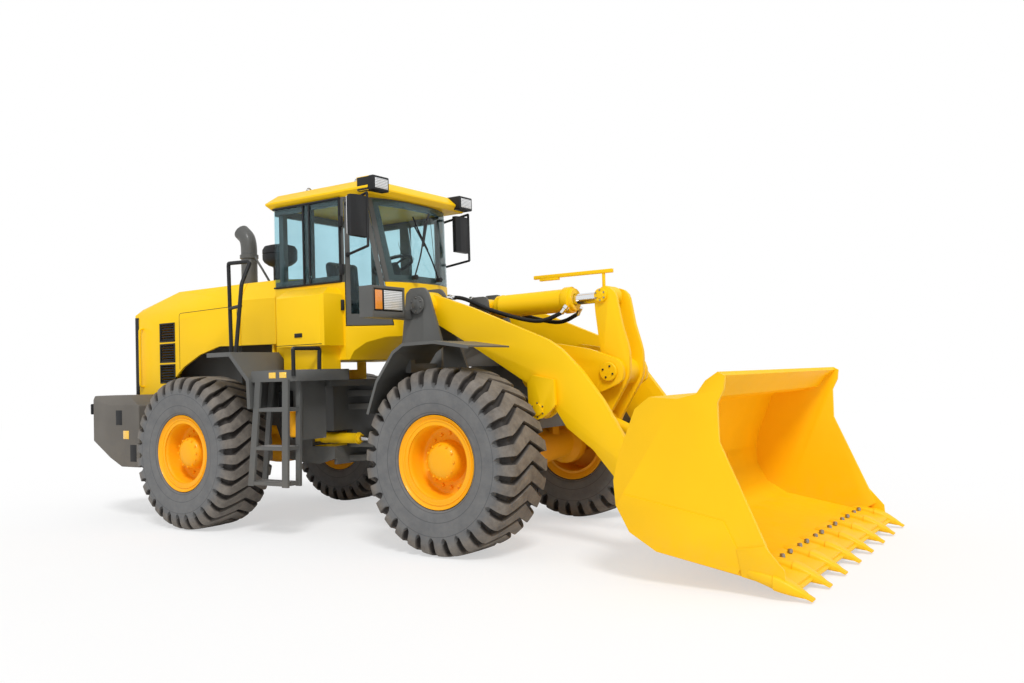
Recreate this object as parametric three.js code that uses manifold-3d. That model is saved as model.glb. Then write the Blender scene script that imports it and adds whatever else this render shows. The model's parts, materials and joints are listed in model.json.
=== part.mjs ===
// Articulated wheel loader with a Z-bar lifting linkage and a toothed general purpose bucket.
// Millimetres, +X forward (towards the bucket), +Y to the driver's left, +Z up. The outlines below are
// drawn from the articulation pivot on the ground; the whole machine is then shifted so that the
// middle of its length lies over the origin.
import * as THREE from 'three';
import { ConvexGeometry } from 'three/addons/geometries/ConvexGeometry.js';
import { mergeVertices } from 'three/addons/utils/BufferGeometryUtils.js';
import Module from 'manifold-3d';

const wasm = await Module();
wasm.setup();

// ---- Clearances ----------------------------------------------------------------------------------
const TOUCH = 0.3;               // between pieces that are bolted or seated on each other
const RUN = 2;                   // radial clearance of a pin in its bore
const SIDE = 10;                 // sideways clearance of a moving eye between its lugs

// ---- Wheels and axles ----------------------------------------------------------------------------
const AXLE_X = 1600;             // each axle's distance from the articulation pivot
const HALF_TRACK = 1095;
const WHEEL_FACETS = 24;
const TYRE_R = 770;
const TYRE_W = 596;
const RIM_SEAT_R = 300;
const RIM_FLANGE_R = 381;
const RIM_W = 524;
const FLANGE_T = 24;
const RIM_WALL = 16;
const HUB_R = 165;
const DISC_Y = 34;               // the wheel disc's middle, outboard of the rim's centre
const DISC_T = 32;
const HUB_Z = TYRE_R * Math.cos(Math.PI / WHEEL_FACETS);
const AXLE_TUBE_R = 150;

// ---- Front frame, lift arms and linkage ----------------------------------------------------------
const ARM_Y = 600;               // middle plane of each lift arm and lift cylinder
const ARM_T = 60;
const ARM_GAP = 210;             // between the tower's two plates
const PLATE_T = 30;
const BOOM_PIVOT = [970, 2105];
const BUCKET_PIVOT = [3020, 520];
const CRANK_PIVOT = [2620, 1450];
const CRANK_TOP = [2520, 2110];
const CRANK_FOOT = [2453, 1038];
const LINK_PIVOT = [3170, 720];
const TILT_BASE = [1220, 2090];
const LIFT_BASE = [550, 860];
const LIFT_EYE = [2165, 1150];
const PIN_R = 50;
const CROSS_TUBE = [2080, 1430];
const CROSS_TUBE_R = 115;
const FRAME_BOTTOM = 980;
const BUCKET_HALF_W = 1480;
const BUCKET_SHEET = 32;
const TOOTH_COUNT = 8;
const TOOTH_TIP = [4582, 14];

// ---- Articulation --------------------------------------------------------------------------------
const HINGE_R = 150;
const HINGE_PIN_R = 50;
const HINGE_LEVELS = [720, 1240];
const HINGE_T = 60;

// ---- Rear frame, hood and cab --------------------------------------------------------------------
const RAIL_Y = 430;
const RAIL_T = 36;
const REAR_X = -3570;
const COUNTERWEIGHT_HALF_W = 1200;
const HOOD_FRONT_X = -1450;
const HOOD_REAR_X = -3260;
const HOOD_HALF_W = 720;
const HOOD_SHEET = 26;
const CAB_REAR_X = -900;
const CAB_HALF_W = 770;
const CAB_POST_X = 100;          // the door post
const FACE_ANGLE = (47.2 * Math.PI) / 180; // the door face, turned in from the side wall
const FACE_LOW = 574;            // its length at floor level, and at the roof
const FACE_HIGH = 276;
const CAB_SHEET = 40;
const CAB_FLOOR_Z = 1640;
const CAB_TOP_Z = 3200;
const DECK_Z = 1555;
const DECK_T = 90;
const DECK_EDGE_Y = 1360;

const HINGE_LINE = [-3330, 1250]; // the hood's hinge
const BAY_X = REAR_X + 190;      // the rear frame's end wall is bolted up to this face
const LENGTH_SHIFT = -(TOOTH_TIP[0] + REAR_X) / 2;

// ---- Finishes ------------------------------------------------------------------------------------
const finish = (color, roughness, metalness) => new THREE.MeshStandardMaterial({ color, roughness, metalness });
const YELLOW = finish(0xffc400, 0.4, 0.0);
const SLATE = finish(0x46494b, 0.55, 0.1);
const BLACK = finish(0x1c1d1e, 0.6, 0.0);
const BALLAST = finish(0x57524c, 0.7, 0.1);
const RUBBER = finish(0x35373a, 0.9, 0.0);
const CHROME = finish(0xd0d2d4, 0.15, 1.0);
const STEEL = finish(0x8a8c8e, 0.4, 0.8);
const GLASS = finish(0x9cc4cc, 0.1, 0.0);
const SEAT_CLOTH = finish(0x2c3338, 0.9, 0.0);

// ---- Solids --------------------------------------------------------------------------------------
function solid(geometry) {
  const bare = geometry.clone();
  bare.deleteAttribute('normal');
  bare.deleteAttribute('uv');
  const merged = mergeVertices(bare, 1e-3);
  return new wasm.Manifold(new wasm.Mesh({
    numProp: 3,
    vertProperties: Float32Array.from(merged.attributes.position.array),
    triVerts: Uint32Array.from(merged.index.array),
  }));
}

const join = (...parts) => parts.reduce((whole, part) => whole.add(part));
const cut = (whole, ...tools) => tools.reduce((rest, tool) => rest.subtract(tool), whole);

function block(x0, x1, y0, y1, z0, z1) {
  const geometry = new THREE.BoxGeometry(x1 - x0, y1 - y0, z1 - z0);
  return solid(geometry.translate((x0 + x1) / 2, (y0 + y1) / 2, (z0 + z1) / 2));
}

// An outline of [x, y] or [x, y, corner radius] points; a corner with a radius becomes an arc.
function outline(points) {
  const shape = new THREE.Shape();
  points.forEach((point, i) => {
    const here = new THREE.Vector2(point[0], point[1]);
    const last = new THREE.Vector2(...points.at(i - 1).slice(0, 2));
    const next = new THREE.Vector2(...points[(i + 1) % points.length].slice(0, 2));
    const reach = Math.min(point[2] ?? 0, 0.48 * here.distanceTo(last), 0.48 * here.distanceTo(next));
    const start = here.clone().addScaledVector(last.sub(here).normalize(), reach);
    const end = here.clone().addScaledVector(next.sub(here).normalize(), reach);
    if (i === 0) shape.moveTo(start.x, start.y);
    else shape.lineTo(start.x, start.y);
    if (reach > 0) shape.quadraticCurveTo(here.x, here.y, end.x, end.y);
  });
  shape.closePath();
  return shape;
}

const extruded = (points, depth) =>
  new THREE.ExtrudeGeometry(outline(points), { depth, bevelEnabled: false, curveSegments: 2 });

// Side outline [x, z] across from y0 to y1; plan outline [x, y] up from z0 to z1; and
// cross-section [y, z] along from x0 to x1.
const sidePlate = (points, y0, y1) =>
  solid(extruded(points, y1 - y0).rotateX(Math.PI / 2).translate(0, y1, 0));
const planPlate = (points, z0, z1) => solid(extruded(points, z1 - z0).translate(0, 0, z0));
const TURN_TO_X = new THREE.Matrix4().makeBasis(
  new THREE.Vector3(0, 1, 0), new THREE.Vector3(0, 0, 1), new THREE.Vector3(1, 0, 0));
const section = (points, x0, x1) =>
  solid(extruded(points, x1 - x0).applyMatrix4(TURN_TO_X).translate(x0, 0, 0));

// A round bar between two points, and the same lying across the machine or standing up.
function bar(from, to, radius, sides = 16, endRadius = radius) {
  const start = new THREE.Vector3(...from);
  const along = new THREE.Vector3(...to).sub(start);
  const geometry = new THREE.CylinderGeometry(endRadius, radius, along.length(), sides);
  const turn = new THREE.Quaternion().setFromUnitVectors(new THREE.Vector3(0, 1, 0), along.clone().normalize());
  return solid(geometry.applyQuaternion(turn).translate(...start.addScaledVector(along, 0.5).toArray()));
}
const acrossBar = ([x, z], y0, y1, radius, sides = 12) => bar([x, y0, z], [x, y1, z], radius, sides);
const post = (x, y, z0, z1, radius, sides = 12) => bar([x, y, z0], [x, y, z1], radius, sides);

// A profile of [radius, y] points turned about a line across the machine; its points are taken in
// whichever order makes the surface face outwards.
function turned(profile, [x, z], y, facets = WHEEL_FACETS) {
  const points = profile.map(([radius, along]) => new THREE.Vector2(radius, along));
  if (THREE.ShapeUtils.area(points) < 0) points.reverse();
  const geometry = new THREE.LatheGeometry(points, facets);
  return solid(geometry.rotateY(Math.PI / facets).translate(x, y, z));
}

// A round tube along a smooth curve, or along straight runs with rounded corners.
function tube(points, radius, steps = 24, sides = 8) {
  const curve = new THREE.CatmullRomCurve3(points.map((p) => new THREE.Vector3(...p)), false, 'centripetal');
  const ring = new THREE.Shape().absarc(0, 0, radius, 0, 2 * Math.PI, false);
  return solid(new THREE.ExtrudeGeometry(ring, { extrudePath: curve, steps, curveSegments: sides }));
}
function rail(points, radius) {
  return join(
    ...points.slice(1).map((end, i) => bar(points[i], end, radius, 6)),
    ...points.slice(1, -1).map((p) => solid(new THREE.OctahedronGeometry(radius * 1.15, 0).translate(...p))));
}

// A sheet of even thickness that follows a line of [x, z] points, on the line's left side.
function strip(points, thickness, y0, y1) {
  const left = points.map((point, i) => {
    const before = points[Math.max(i - 1, 0)];
    const after = points[Math.min(i + 1, points.length - 1)];
    const a = new THREE.Vector2(point[0] - before[0], point[1] - before[1]).normalize();
    const b = new THREE.Vector2(after[0] - point[0], after[1] - point[1]).normalize();
    const along = a.clone().add(b).normalize();
    const spread = i === 0 || i === points.length - 1 ? 1 : 1 / Math.max(0.5, Math.abs(along.dot(b)));
    return [point[0] - along.y * thickness * spread, point[1] + along.x * thickness * spread];
  });
  return sidePlate([...points, ...left.reverse()], y0, y1);
}

const mirrored = (piece) => piece.mirror([0, 1, 0]);
const bothSides = (piece) => join(piece, mirrored(piece));

// A point part of the way from one [x, z] point to another, by distance.
function towards(from, to, distance) {
  const length = Math.hypot(to[0] - from[0], to[1] - from[1]);
  return [0, 1].map((i) => from[i] + ((to[i] - from[i]) * distance) / length);
}
const distanceOf = (from, to) => Math.hypot(to[0] - from[0], to[1] - from[1]);
const at = ([x, z], y) => [x, y, z];

// ---- The assembly --------------------------------------------------------------------------------
const machine = new THREE.Group();
machine.name = 'wheel_loader';

function add(name, piece, material) {
  const mesh = piece.getMesh();
  const geometry = new THREE.BufferGeometry();
  geometry.setAttribute('position', new THREE.BufferAttribute(Float32Array.from(mesh.vertProperties), 3));
  geometry.setIndex(new THREE.BufferAttribute(Uint32Array.from(mesh.triVerts), 1));
  const sub = new THREE.Mesh(geometry, material);
  sub.name = name;
  machine.add(sub);
}
function addPair(name, piece, material) {
  add(`${name}_left`, piece, material);
  add(`${name}_right`, mirrored(piece), material);
}

// ---- Wheels: a wide earthmover tyre on a flanged rim with a planetary hub ------------------------
function tyre(x) {
  const bead = RIM_W / 2 - FLANGE_T - 2;
  const wall = TYRE_W / 2;
  const half = [
    [RIM_SEAT_R + 1, bead],
    [RIM_FLANGE_R + 3, bead],
    [RIM_FLANGE_R + 14, RIM_W / 2 + 4],
    [TYRE_R * 0.76, wall],
    [TYRE_R - 30, wall - 26],
    [TYRE_R, wall - 66],
  ];
  const loop = [...half, ...half.map(([r, y]) => [r, -y]).reverse(), half[0]];
  return turned(loop, [x, HUB_Z], HALF_TRACK);
}

function rim(x) {
  const face = RIM_W / 2;
  const inner = RIM_SEAT_R - RIM_WALL;
  const discOut = DISC_Y + DISC_T / 2;
  const discIn = DISC_Y - DISC_T / 2;
  return turned([
    [0, discOut + 165],
    [HUB_R * 0.72, discOut + 165],
    [HUB_R, discOut + 120],
    [HUB_R + 6, discOut],
    [inner, discOut],
    [inner, face],
    [RIM_FLANGE_R, face],
    [RIM_FLANGE_R, face - FLANGE_T],
    [RIM_SEAT_R, face - FLANGE_T],
    [RIM_SEAT_R, FLANGE_T - face],
    [RIM_FLANGE_R, FLANGE_T - face],
    [RIM_FLANGE_R, -face],
    [inner, -face],
    [inner, discIn],
    [0, discIn],
  ], [x, HUB_Z], HALF_TRACK);
}

for (const [place, x] of [['front', AXLE_X], ['rear', -AXLE_X]]) {
  addPair(`${place}_tyre`, tyre(x), RUBBER);
  addPair(`${place}_rim`, rim(x), YELLOW);
}

// ---- Axles: differential housing, tapered arms, brake housings and saddles -----------------------
function axle(x, saddleTop, saddleY) {
  const end = HALF_TRACK + DISC_Y - DISC_T / 2 - RUN;
  const half = [
    [208, 90], [165, 300], [AXLE_TUBE_R - 10, 660], [205, 700], [205, 800], [115, 850], [110, end], [0, end],
  ];
  const profile = [...half.map(([r, y]) => [r, -y]).reverse(), ...half];
  const body = turned(profile, [x, HUB_Z], 0, 16);
  const nose = Math.sign(-x);
  const pinion = bar([x, 0, HUB_Z + 20], [x + nose * 430, 0, HUB_Z + 40], 120, 12, 70);
  const saddle = block(x - 120, x + 120, saddleY, saddleY + 120, HUB_Z, saddleTop - TOUCH);
  return join(body, pinion, bothSides(saddle));
}
add('front_axle', axle(AXLE_X, FRAME_BOTTOM, 300), YELLOW);

// ---- Front frame: hinge plates, box, axle seat and the two-plate towers for the lift arms ---------
const TOWER_IN = ARM_Y - ARM_GAP / 2;
const TOWER_OUT = ARM_Y + ARM_GAP / 2;
const TOWER_HEAD = [
  [1215, 1780], [1075, 2215, 40], [1030, 2260, 20], [880, 2260, 20], [825, 2215, 20], [770, 1800],
];
const FRONT_WALL_X = 420;

function hingePlate(z, sign, rootX, rootHalf) {
  const arc = Array.from({ length: 13 }, (_, i) => {
    const turn = Math.PI / 2 + (Math.PI * i) / 12;
    return [sign * HINGE_R * Math.cos(turn), HINGE_R * Math.sin(turn)];
  });
  const points = [...arc, [sign * rootX, -rootHalf], [sign * rootX, rootHalf]];
  return planPlate(sign > 0 ? points : points.reverse(), z - HINGE_T / 2, z + HINGE_T / 2);
}

function frontFrame() {
  const inner = sidePlate([
    [FRONT_WALL_X, 690], [690, 690], [1060, FRAME_BOTTOM], [2050, FRAME_BOTTOM], [2080, 1150], [1880, 1290],
    [1360, 1420, 60], ...TOWER_HEAD, [700, 1560], [FRONT_WALL_X, 1400],
  ], TOWER_IN - PLATE_T, TOWER_IN);
  const outer = sidePlate([
    [FRONT_WALL_X + 20, 720], [690, 720], [1000, 1000], [1210, 1420], ...TOWER_HEAD, [690, 1420],
    [FRONT_WALL_X + 20, 1180],
  ], TOWER_OUT, TOWER_OUT + PLATE_T);
  const web = block(FRONT_WALL_X, FRONT_WALL_X + 24, TOWER_IN - 5, TOWER_OUT + PLATE_T, 740, 1170);
  const boomPin = acrossBar(BOOM_PIVOT, TOWER_IN - PLATE_T - 15, TOWER_OUT + PLATE_T + 25, PIN_R + 5);
  const liftPin = acrossBar(LIFT_BASE, TOWER_IN - 5, TOWER_OUT + PLATE_T + 15, PIN_R - 8);
  const ear = sidePlate([
    [870, 1680], [1090, 1680], [TILT_BASE[0] + 110, 2040, 30], [TILT_BASE[0] + 90, 2190, 40],
    [TILT_BASE[0] - 90, 2190, 40], [TILT_BASE[0] - 130, 2060, 30],
  ], 118, 118 + PLATE_T);
  const side = join(inner, outer, web, boomPin, liftPin, ear);
  const span = TOWER_IN;
  const rearWall = block(FRONT_WALL_X, FRONT_WALL_X + 40, -span, span, 690, 1400);
  const floor = block(1000, 2050, -span, span, FRAME_BOTTOM, FRAME_BOTTOM + PLATE_T);
  const beam = block(860, 1100, -span, span, 1540, 1760);
  const nose = block(2010, 2050, -span, span, FRAME_BOTTOM, 1170);
  const tiltPin = acrossBar(TILT_BASE, -160, 160, PIN_R - 8);
  const hinges = HINGE_LEVELS.map((z) => hingePlate(z, 1, FRONT_WALL_X + 10, 380));
  const lugs = [-1, 1].map((side) => [-1, 1].map((level) => block(
    FRONT_WALL_X - 100, FRONT_WALL_X + 5, side * 330 - 60, side * 330 + 60,
    860 + level * 52 - 12, 860 + level * 52 + 12))).flat();
  const bores = HINGE_LEVELS.map((z) => post(0, 0, z - HINGE_T, z + HINGE_T, HINGE_PIN_R + RUN, 16));
  const eyeSlot = block(FRONT_WALL_X - 5, FRONT_WALL_X + 60, 235, 430, 822, 898);
  const whole = join(bothSides(side), rearWall, floor, beam, nose, tiltPin, ...hinges, ...lugs);
  return cut(whole, ...bores, eyeSlot, mirrored(eyeSlot));
}
add('front_frame', frontFrame(), SLATE);

// ---- Front fenders: bent sheets over the tyres, each on an arm from the tower ---------------------
const FENDER_T = 14;
const FENDER_LINE = [[1985, 1690], [1640, 1742], [1310, 1735], [1200, 1672], [1010, 1430], [900, 1158]];
function frontFender() {
  const sheet = strip(FENDER_LINE, FENDER_T, 805, 1385);
  const flange = strip(FENDER_LINE, 26, 1385 - 8, 1385);
  const arm = block(1105, 1165, TOWER_OUT + PLATE_T + TOUCH, 1100, 1490, 1570);
  const riser = block(1105, 1165, 1040, 1100, 1490, 1600);
  return join(sheet, flange, arm, riser);
}
addPair('front_fender', frontFender(), SLATE);

// ---- Head lamps on brackets beside the towers ----------------------------------------------------
const LAMP_X = 950;
function headlight() {
  const housing = block(LAMP_X - 150, LAMP_X, 900, 1330, 1975, 2250);
  const hollow = block(LAMP_X - 14, LAMP_X + 5, 925, 1305, 2030, 2225);
  const bracket = block(LAMP_X - 140, LAMP_X - 60, TOWER_OUT + PLATE_T + TOUCH, 960, 1975, 2060);
  return join(cut(housing, hollow), bracket);
}
addPair('headlight', headlight(), SLATE);

// ---- Lift arms: two thick plates, the cross tube and the bell crank's bracket ---------------------
const ARM_OUTLINE = [
  [980, 2225, 60], [1464, 2056], [1779, 1921], [2253, 1731, 60], [2375, 1645], [2562, 1460], [2742, 1226],
  [2923, 917], [BUCKET_PIVOT[0] + 118, 570, 30], [BUCKET_PIVOT[0] + 60, 412, 60], [BUCKET_PIVOT[0] - 70, 412, 60],
  [2822, 622], [2646, 825], [2410, 1000], [2330, 1120], [2240, 1240], [2110, 1330], [1453, 1725], [1094, 1926],
  [860, 2040, 60], [860, 2190, 60],
];
const LUG_T = 30;
const EYE_W = 90;
function boom() {
  const arm = sidePlate(ARM_OUTLINE, ARM_Y - ARM_T / 2, ARM_Y + ARM_T / 2);
  const rootHub = acrossBar(BOOM_PIVOT, TOWER_IN + SIDE, TOWER_OUT - SIDE, 125, 16);
  const tipHub = acrossBar(BUCKET_PIVOT, ARM_Y - 50, ARM_Y + 50, 105, 16);
  const lugIn = EYE_W / 2 + 7;
  const lugs = [-1, 1].map((out) => {
    const across = (outline2d, near, far) => sidePlate(
      outline2d, ARM_Y + Math.min(out * near, out * far), ARM_Y + Math.max(out * near, out * far));
    return join(
      across([
        [LIFT_EYE[0] - 85, LIFT_EYE[1] - 20, 60], [LIFT_EYE[0] - 10, LIFT_EYE[1] - 95, 50],
        [LIFT_EYE[0] + 90, LIFT_EYE[1] - 40, 50], [2340, 1190], [2330, 1400], [2120, 1440], [2070, 1380],
      ], lugIn, lugIn + LUG_T),
      across([[2180, 1330], [2320, 1210], [2320, 1390], [2130, 1430], [2100, 1380]], ARM_T / 2 - 1, lugIn + 1),
      acrossBar(LIFT_EYE, ARM_Y + out * (lugIn + LUG_T - 2), ARM_Y + out * (lugIn + LUG_T + 12), 48));
  });
  const bracket = sidePlate([
    [2030, 1560, 40], [2065, 1718, 40], [2440, 1650, 60], [2739, 1540, 60], [2756, 1370, 60], [2520, 1270, 60],
    [2120, 1310, 40],
  ], 205, 250);
  const side = join(arm, rootHub, tipHub, ...lugs, bracket);
  const tubeBar = acrossBar(CROSS_TUBE, -ARM_Y, ARM_Y, CROSS_TUBE_R, 16);
  const whole = join(bothSides(side), tubeBar);
  return cut(
    whole,
    bothSides(acrossBar(BOOM_PIVOT, TOWER_IN - 20, TOWER_OUT + 20, PIN_R + 5 + RUN)),
    bothSides(acrossBar(BUCKET_PIVOT, ARM_Y - 70, ARM_Y + 70, PIN_R - 5 + RUN)),
    acrossBar(CRANK_PIVOT, -270, 270, PIN_R + 5 + RUN));
}
add('boom', boom(), YELLOW);

// ---- Bell crank: two plates on a hub, with its pin in the boom's bracket --------------------------
function bellcrank() {
  const plate = sidePlate([
    [2452, 2010, 60], [2455, 2130, 60], [2560, 2200, 60], [2650, 2130, 40], [2700, 1860], [2768, 1620, 60],
    [2762, 1400, 60], [CRANK_FOOT[0] + 90, CRANK_FOOT[1] + 20, 50], [CRANK_FOOT[0] + 40, CRANK_FOOT[1] - 85, 50],
    [CRANK_FOOT[0] - 80, CRANK_FOOT[1] - 50, 50], [CRANK_FOOT[0] - 30, CRANK_FOOT[1] + 160], [2500, 1430, 60],
    [2495, 1630],
  ], 110, 155);
  const capTop = acrossBar(CRANK_TOP, 154, 172, 62);
  const capFoot = acrossBar(CRANK_FOOT, 154, 172, 56);
  const hub = acrossBar(CRANK_PIVOT, -185, 185, 118, 16);
  return cut(join(bothSides(join(plate, capTop, capFoot)), hub), acrossBar(CRANK_PIVOT, -270, 270, PIN_R + 5 + RUN));
}
add('bellcrank', bellcrank(), YELLOW);
add('crank_pin', join(
  acrossBar(CRANK_PIVOT, -262, 262, PIN_R + 5),
  bothSides(acrossBar(CRANK_PIVOT, 256, 276, PIN_R + 30))), SLATE);

// ---- Bucket link between the bell crank's foot and the bucket's middle lugs -----------------------
function bucketLink() {
  const body = bar(at(CRANK_FOOT, 0), at(LINK_PIVOT, 0), 48, 12);
  const eyes = [CRANK_FOOT, LINK_PIVOT].map((place) => acrossBar(place, -75, 75, 66));
  return cut(join(body, ...eyes), acrossBar(LINK_PIVOT, -90, 90, PIN_R - 12 + RUN));
}
add('bucket_link', bucketLink(), YELLOW);
add('link_pin', join(
  acrossBar(LINK_PIVOT, -140, 140, PIN_R - 12),
  bothSides(acrossBar(LINK_PIVOT, 132, 146, PIN_R + 2))), STEEL);
addPair('bucket_pin', join(
  acrossBar(BUCKET_PIVOT, ARM_Y - 118, ARM_Y + 118, PIN_R - 5),
  acrossBar(BUCKET_PIVOT, ARM_Y - 128, ARM_Y - 108, PIN_R + 12),
  acrossBar(BUCKET_PIVOT, ARM_Y + 108, ARM_Y + 128, PIN_R + 12)), STEEL);

// ---- Bucket: rolled shell, side plates, spill guard, cutting edge, teeth and rear lugs ------------
const SHELL_LINE = [
  [4460, 62], [4197, 118], [3560, 236], [3366, 352], [3268, 530], [3256, 700], [3300, 868], [3352, 994],
  [3436, 1190], [3546, 1272], [3745, 1256], [3881, 1286], [3949, 1374], [4036, 1430],
];
const SIDE_OUTLINE = [
  ...SHELL_LINE.slice(1), [4081, 1404], [4071, 1319], [4024, 1227], [4023, 977], [4356, 208],
];
function tooth(y) {
  return sidePlate([
    [4200, 132], [4470, 60], [TOOTH_TIP[0], TOOTH_TIP[1]], [TOOTH_TIP[0], TOOTH_TIP[1] + 10], [4400, 128],
    [4230, 172],
  ], y - 38, y + 38);
}
function bucket() {
  const half = BUCKET_HALF_W;
  const shell = strip([...SHELL_LINE].reverse(), BUCKET_SHEET, -half + 2, half - 2);
  const side = sidePlate(SIDE_OUTLINE, half - BUCKET_SHEET, half);
  const wear = sidePlate([
    [3330, 610], [4040, 470], [4165, 215], [4120, 140], [3562, 240], [3372, 356], [3276, 530],
  ], half - 4, half + 10);
  const cutter = sidePlate([[4120, 300], [4300, 330], [4420, 190], [4430, 70], [4150, 128]], half - 4, half + 14);
  const teeth = Array.from({ length: TOOTH_COUNT }, (_, i) =>
    tooth(-1450 + (2900 * i) / (TOOTH_COUNT - 1)));
  const edge = sidePlate([[4140, 128], [4478, 52], [4486, 66], [4300, 134], [4150, 165]], -half, half);
  const lug = (y0, y1) => sidePlate([
    [BUCKET_PIVOT[0] - 78, BUCKET_PIVOT[1] - 30, 60], [BUCKET_PIVOT[0] - 10, BUCKET_PIVOT[1] - 92, 60],
    [3390, 340], [3300, 520], [3290, 860], [BUCKET_PIVOT[0] + 20, BUCKET_PIVOT[1] + 92, 60],
    [BUCKET_PIVOT[0] - 70, BUCKET_PIVOT[1] + 50, 50],
  ], y0, y1);
  const sideLugs = join(lug(ARM_Y - 98, ARM_Y - 62), lug(ARM_Y + 62, ARM_Y + 98));
  const middleLug = sidePlate([
    [LINK_PIVOT[0] - 70, LINK_PIVOT[1] - 30, 50], [LINK_PIVOT[0], LINK_PIVOT[1] - 90, 50], [3290, 600],
    [3285, 800], [3330, 940], [LINK_PIVOT[0] + 10, LINK_PIVOT[1] + 90, 50], [LINK_PIVOT[0] - 60, LINK_PIVOT[1] + 50, 50],
  ], 90, 122);
  const whole = join(shell, edge, ...teeth, bothSides(join(side, wear, cutter, sideLugs, middleLug)));
  return cut(
    whole,
    ...[-1, 1].map((s) => acrossBar(BUCKET_PIVOT, s * ARM_Y - 120, s * ARM_Y + 120, PIN_R - 5 + RUN)),
    acrossBar(LINK_PIVOT, -150, 150, PIN_R - 12 + RUN));
}
add('bucket', bucket(), YELLOW);

// ---- Cylinders: a bored barrel with a rear eye, and a rod with its own eye ------------------------
function barrel(base, tip, y, length, radius, rodR, eyeHalf, pinR) {
  const start = towards(base, tip, radius * 1.2);
  const end = towards(base, tip, length);
  const head = towards(base, tip, length - radius);
  const body = join(
    bar(at(start, y), at(end, y), radius, 12),
    bar(at(head, y), at(end, y), radius * 1.14, 12),
    bar(at(base, y), at(start, y), radius * 0.62, 8),
    acrossBar(base, y - eyeHalf, y + eyeHalf, pinR + 42));
  return cut(
    body,
    bar(at(towards(base, tip, radius * 1.5), y), at(towards(base, tip, length + 20), y), rodR + RUN, 12),
    acrossBar(base, y - eyeHalf - 10, y + eyeHalf + 10, pinR + RUN));
}
function rod(base, tip, y, tail, radius, eyeHalf, eyeR) {
  return join(
    bar(at(towards(base, tip, tail), y), at(tip, y), radius, 12),
    acrossBar(tip, y - eyeHalf, y + eyeHalf, eyeR));
}
const TILT_BARREL = 965;
const TILT_R = 105;
const TILT_ROD_R = 50;
add('tilt_cylinder_barrel', barrel(TILT_BASE, CRANK_TOP, 0, TILT_BARREL, TILT_R, TILT_ROD_R, 100, PIN_R - 8), YELLOW);
function tiltRod() {
  const level = 2318;
  return join(
    rod(TILT_BASE, CRANK_TOP, 0, 420, TILT_ROD_R, 80, 88),
    block(2488, 2512, -70, -46, 2110, level),
    block(1790, 2590, -75, -41, level - 8, level + 26));
}
add('tilt_cylinder_rod', tiltRod(), CHROME);

const LIFT_BARREL = 1430;
const LIFT_R = 78;
const LIFT_ROD_R = 45;
addPair('lift_cylinder_barrel', barrel(LIFT_BASE, LIFT_EYE, ARM_Y, LIFT_BARREL, LIFT_R, LIFT_ROD_R, 85, PIN_R - 8), YELLOW);
addPair('lift_cylinder_rod', rod(LIFT_BASE, LIFT_EYE, ARM_Y, 215, LIFT_ROD_R, EYE_W / 2, 72), CHROME);

// Steering cylinders lie flat beside the articulation; they are built upright and laid over.
const STEER_BASE = [-720, 360];
const STEER_EYE = [370, 330];
const STEER_Z = 860;
const laidFlat = (piece) => piece.rotate([90, 0, 0]).translate([0, 0, STEER_Z]);
addPair('steering_cylinder_barrel', mirrored(laidFlat(
  barrel(STEER_BASE, STEER_EYE, 0, 600, 52, 26, 35, 24))), YELLOW);
addPair('steering_cylinder_rod', mirrored(laidFlat(
  rod(STEER_BASE, STEER_EYE, 0, 315, 26, 30, 46))), CHROME);

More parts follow.
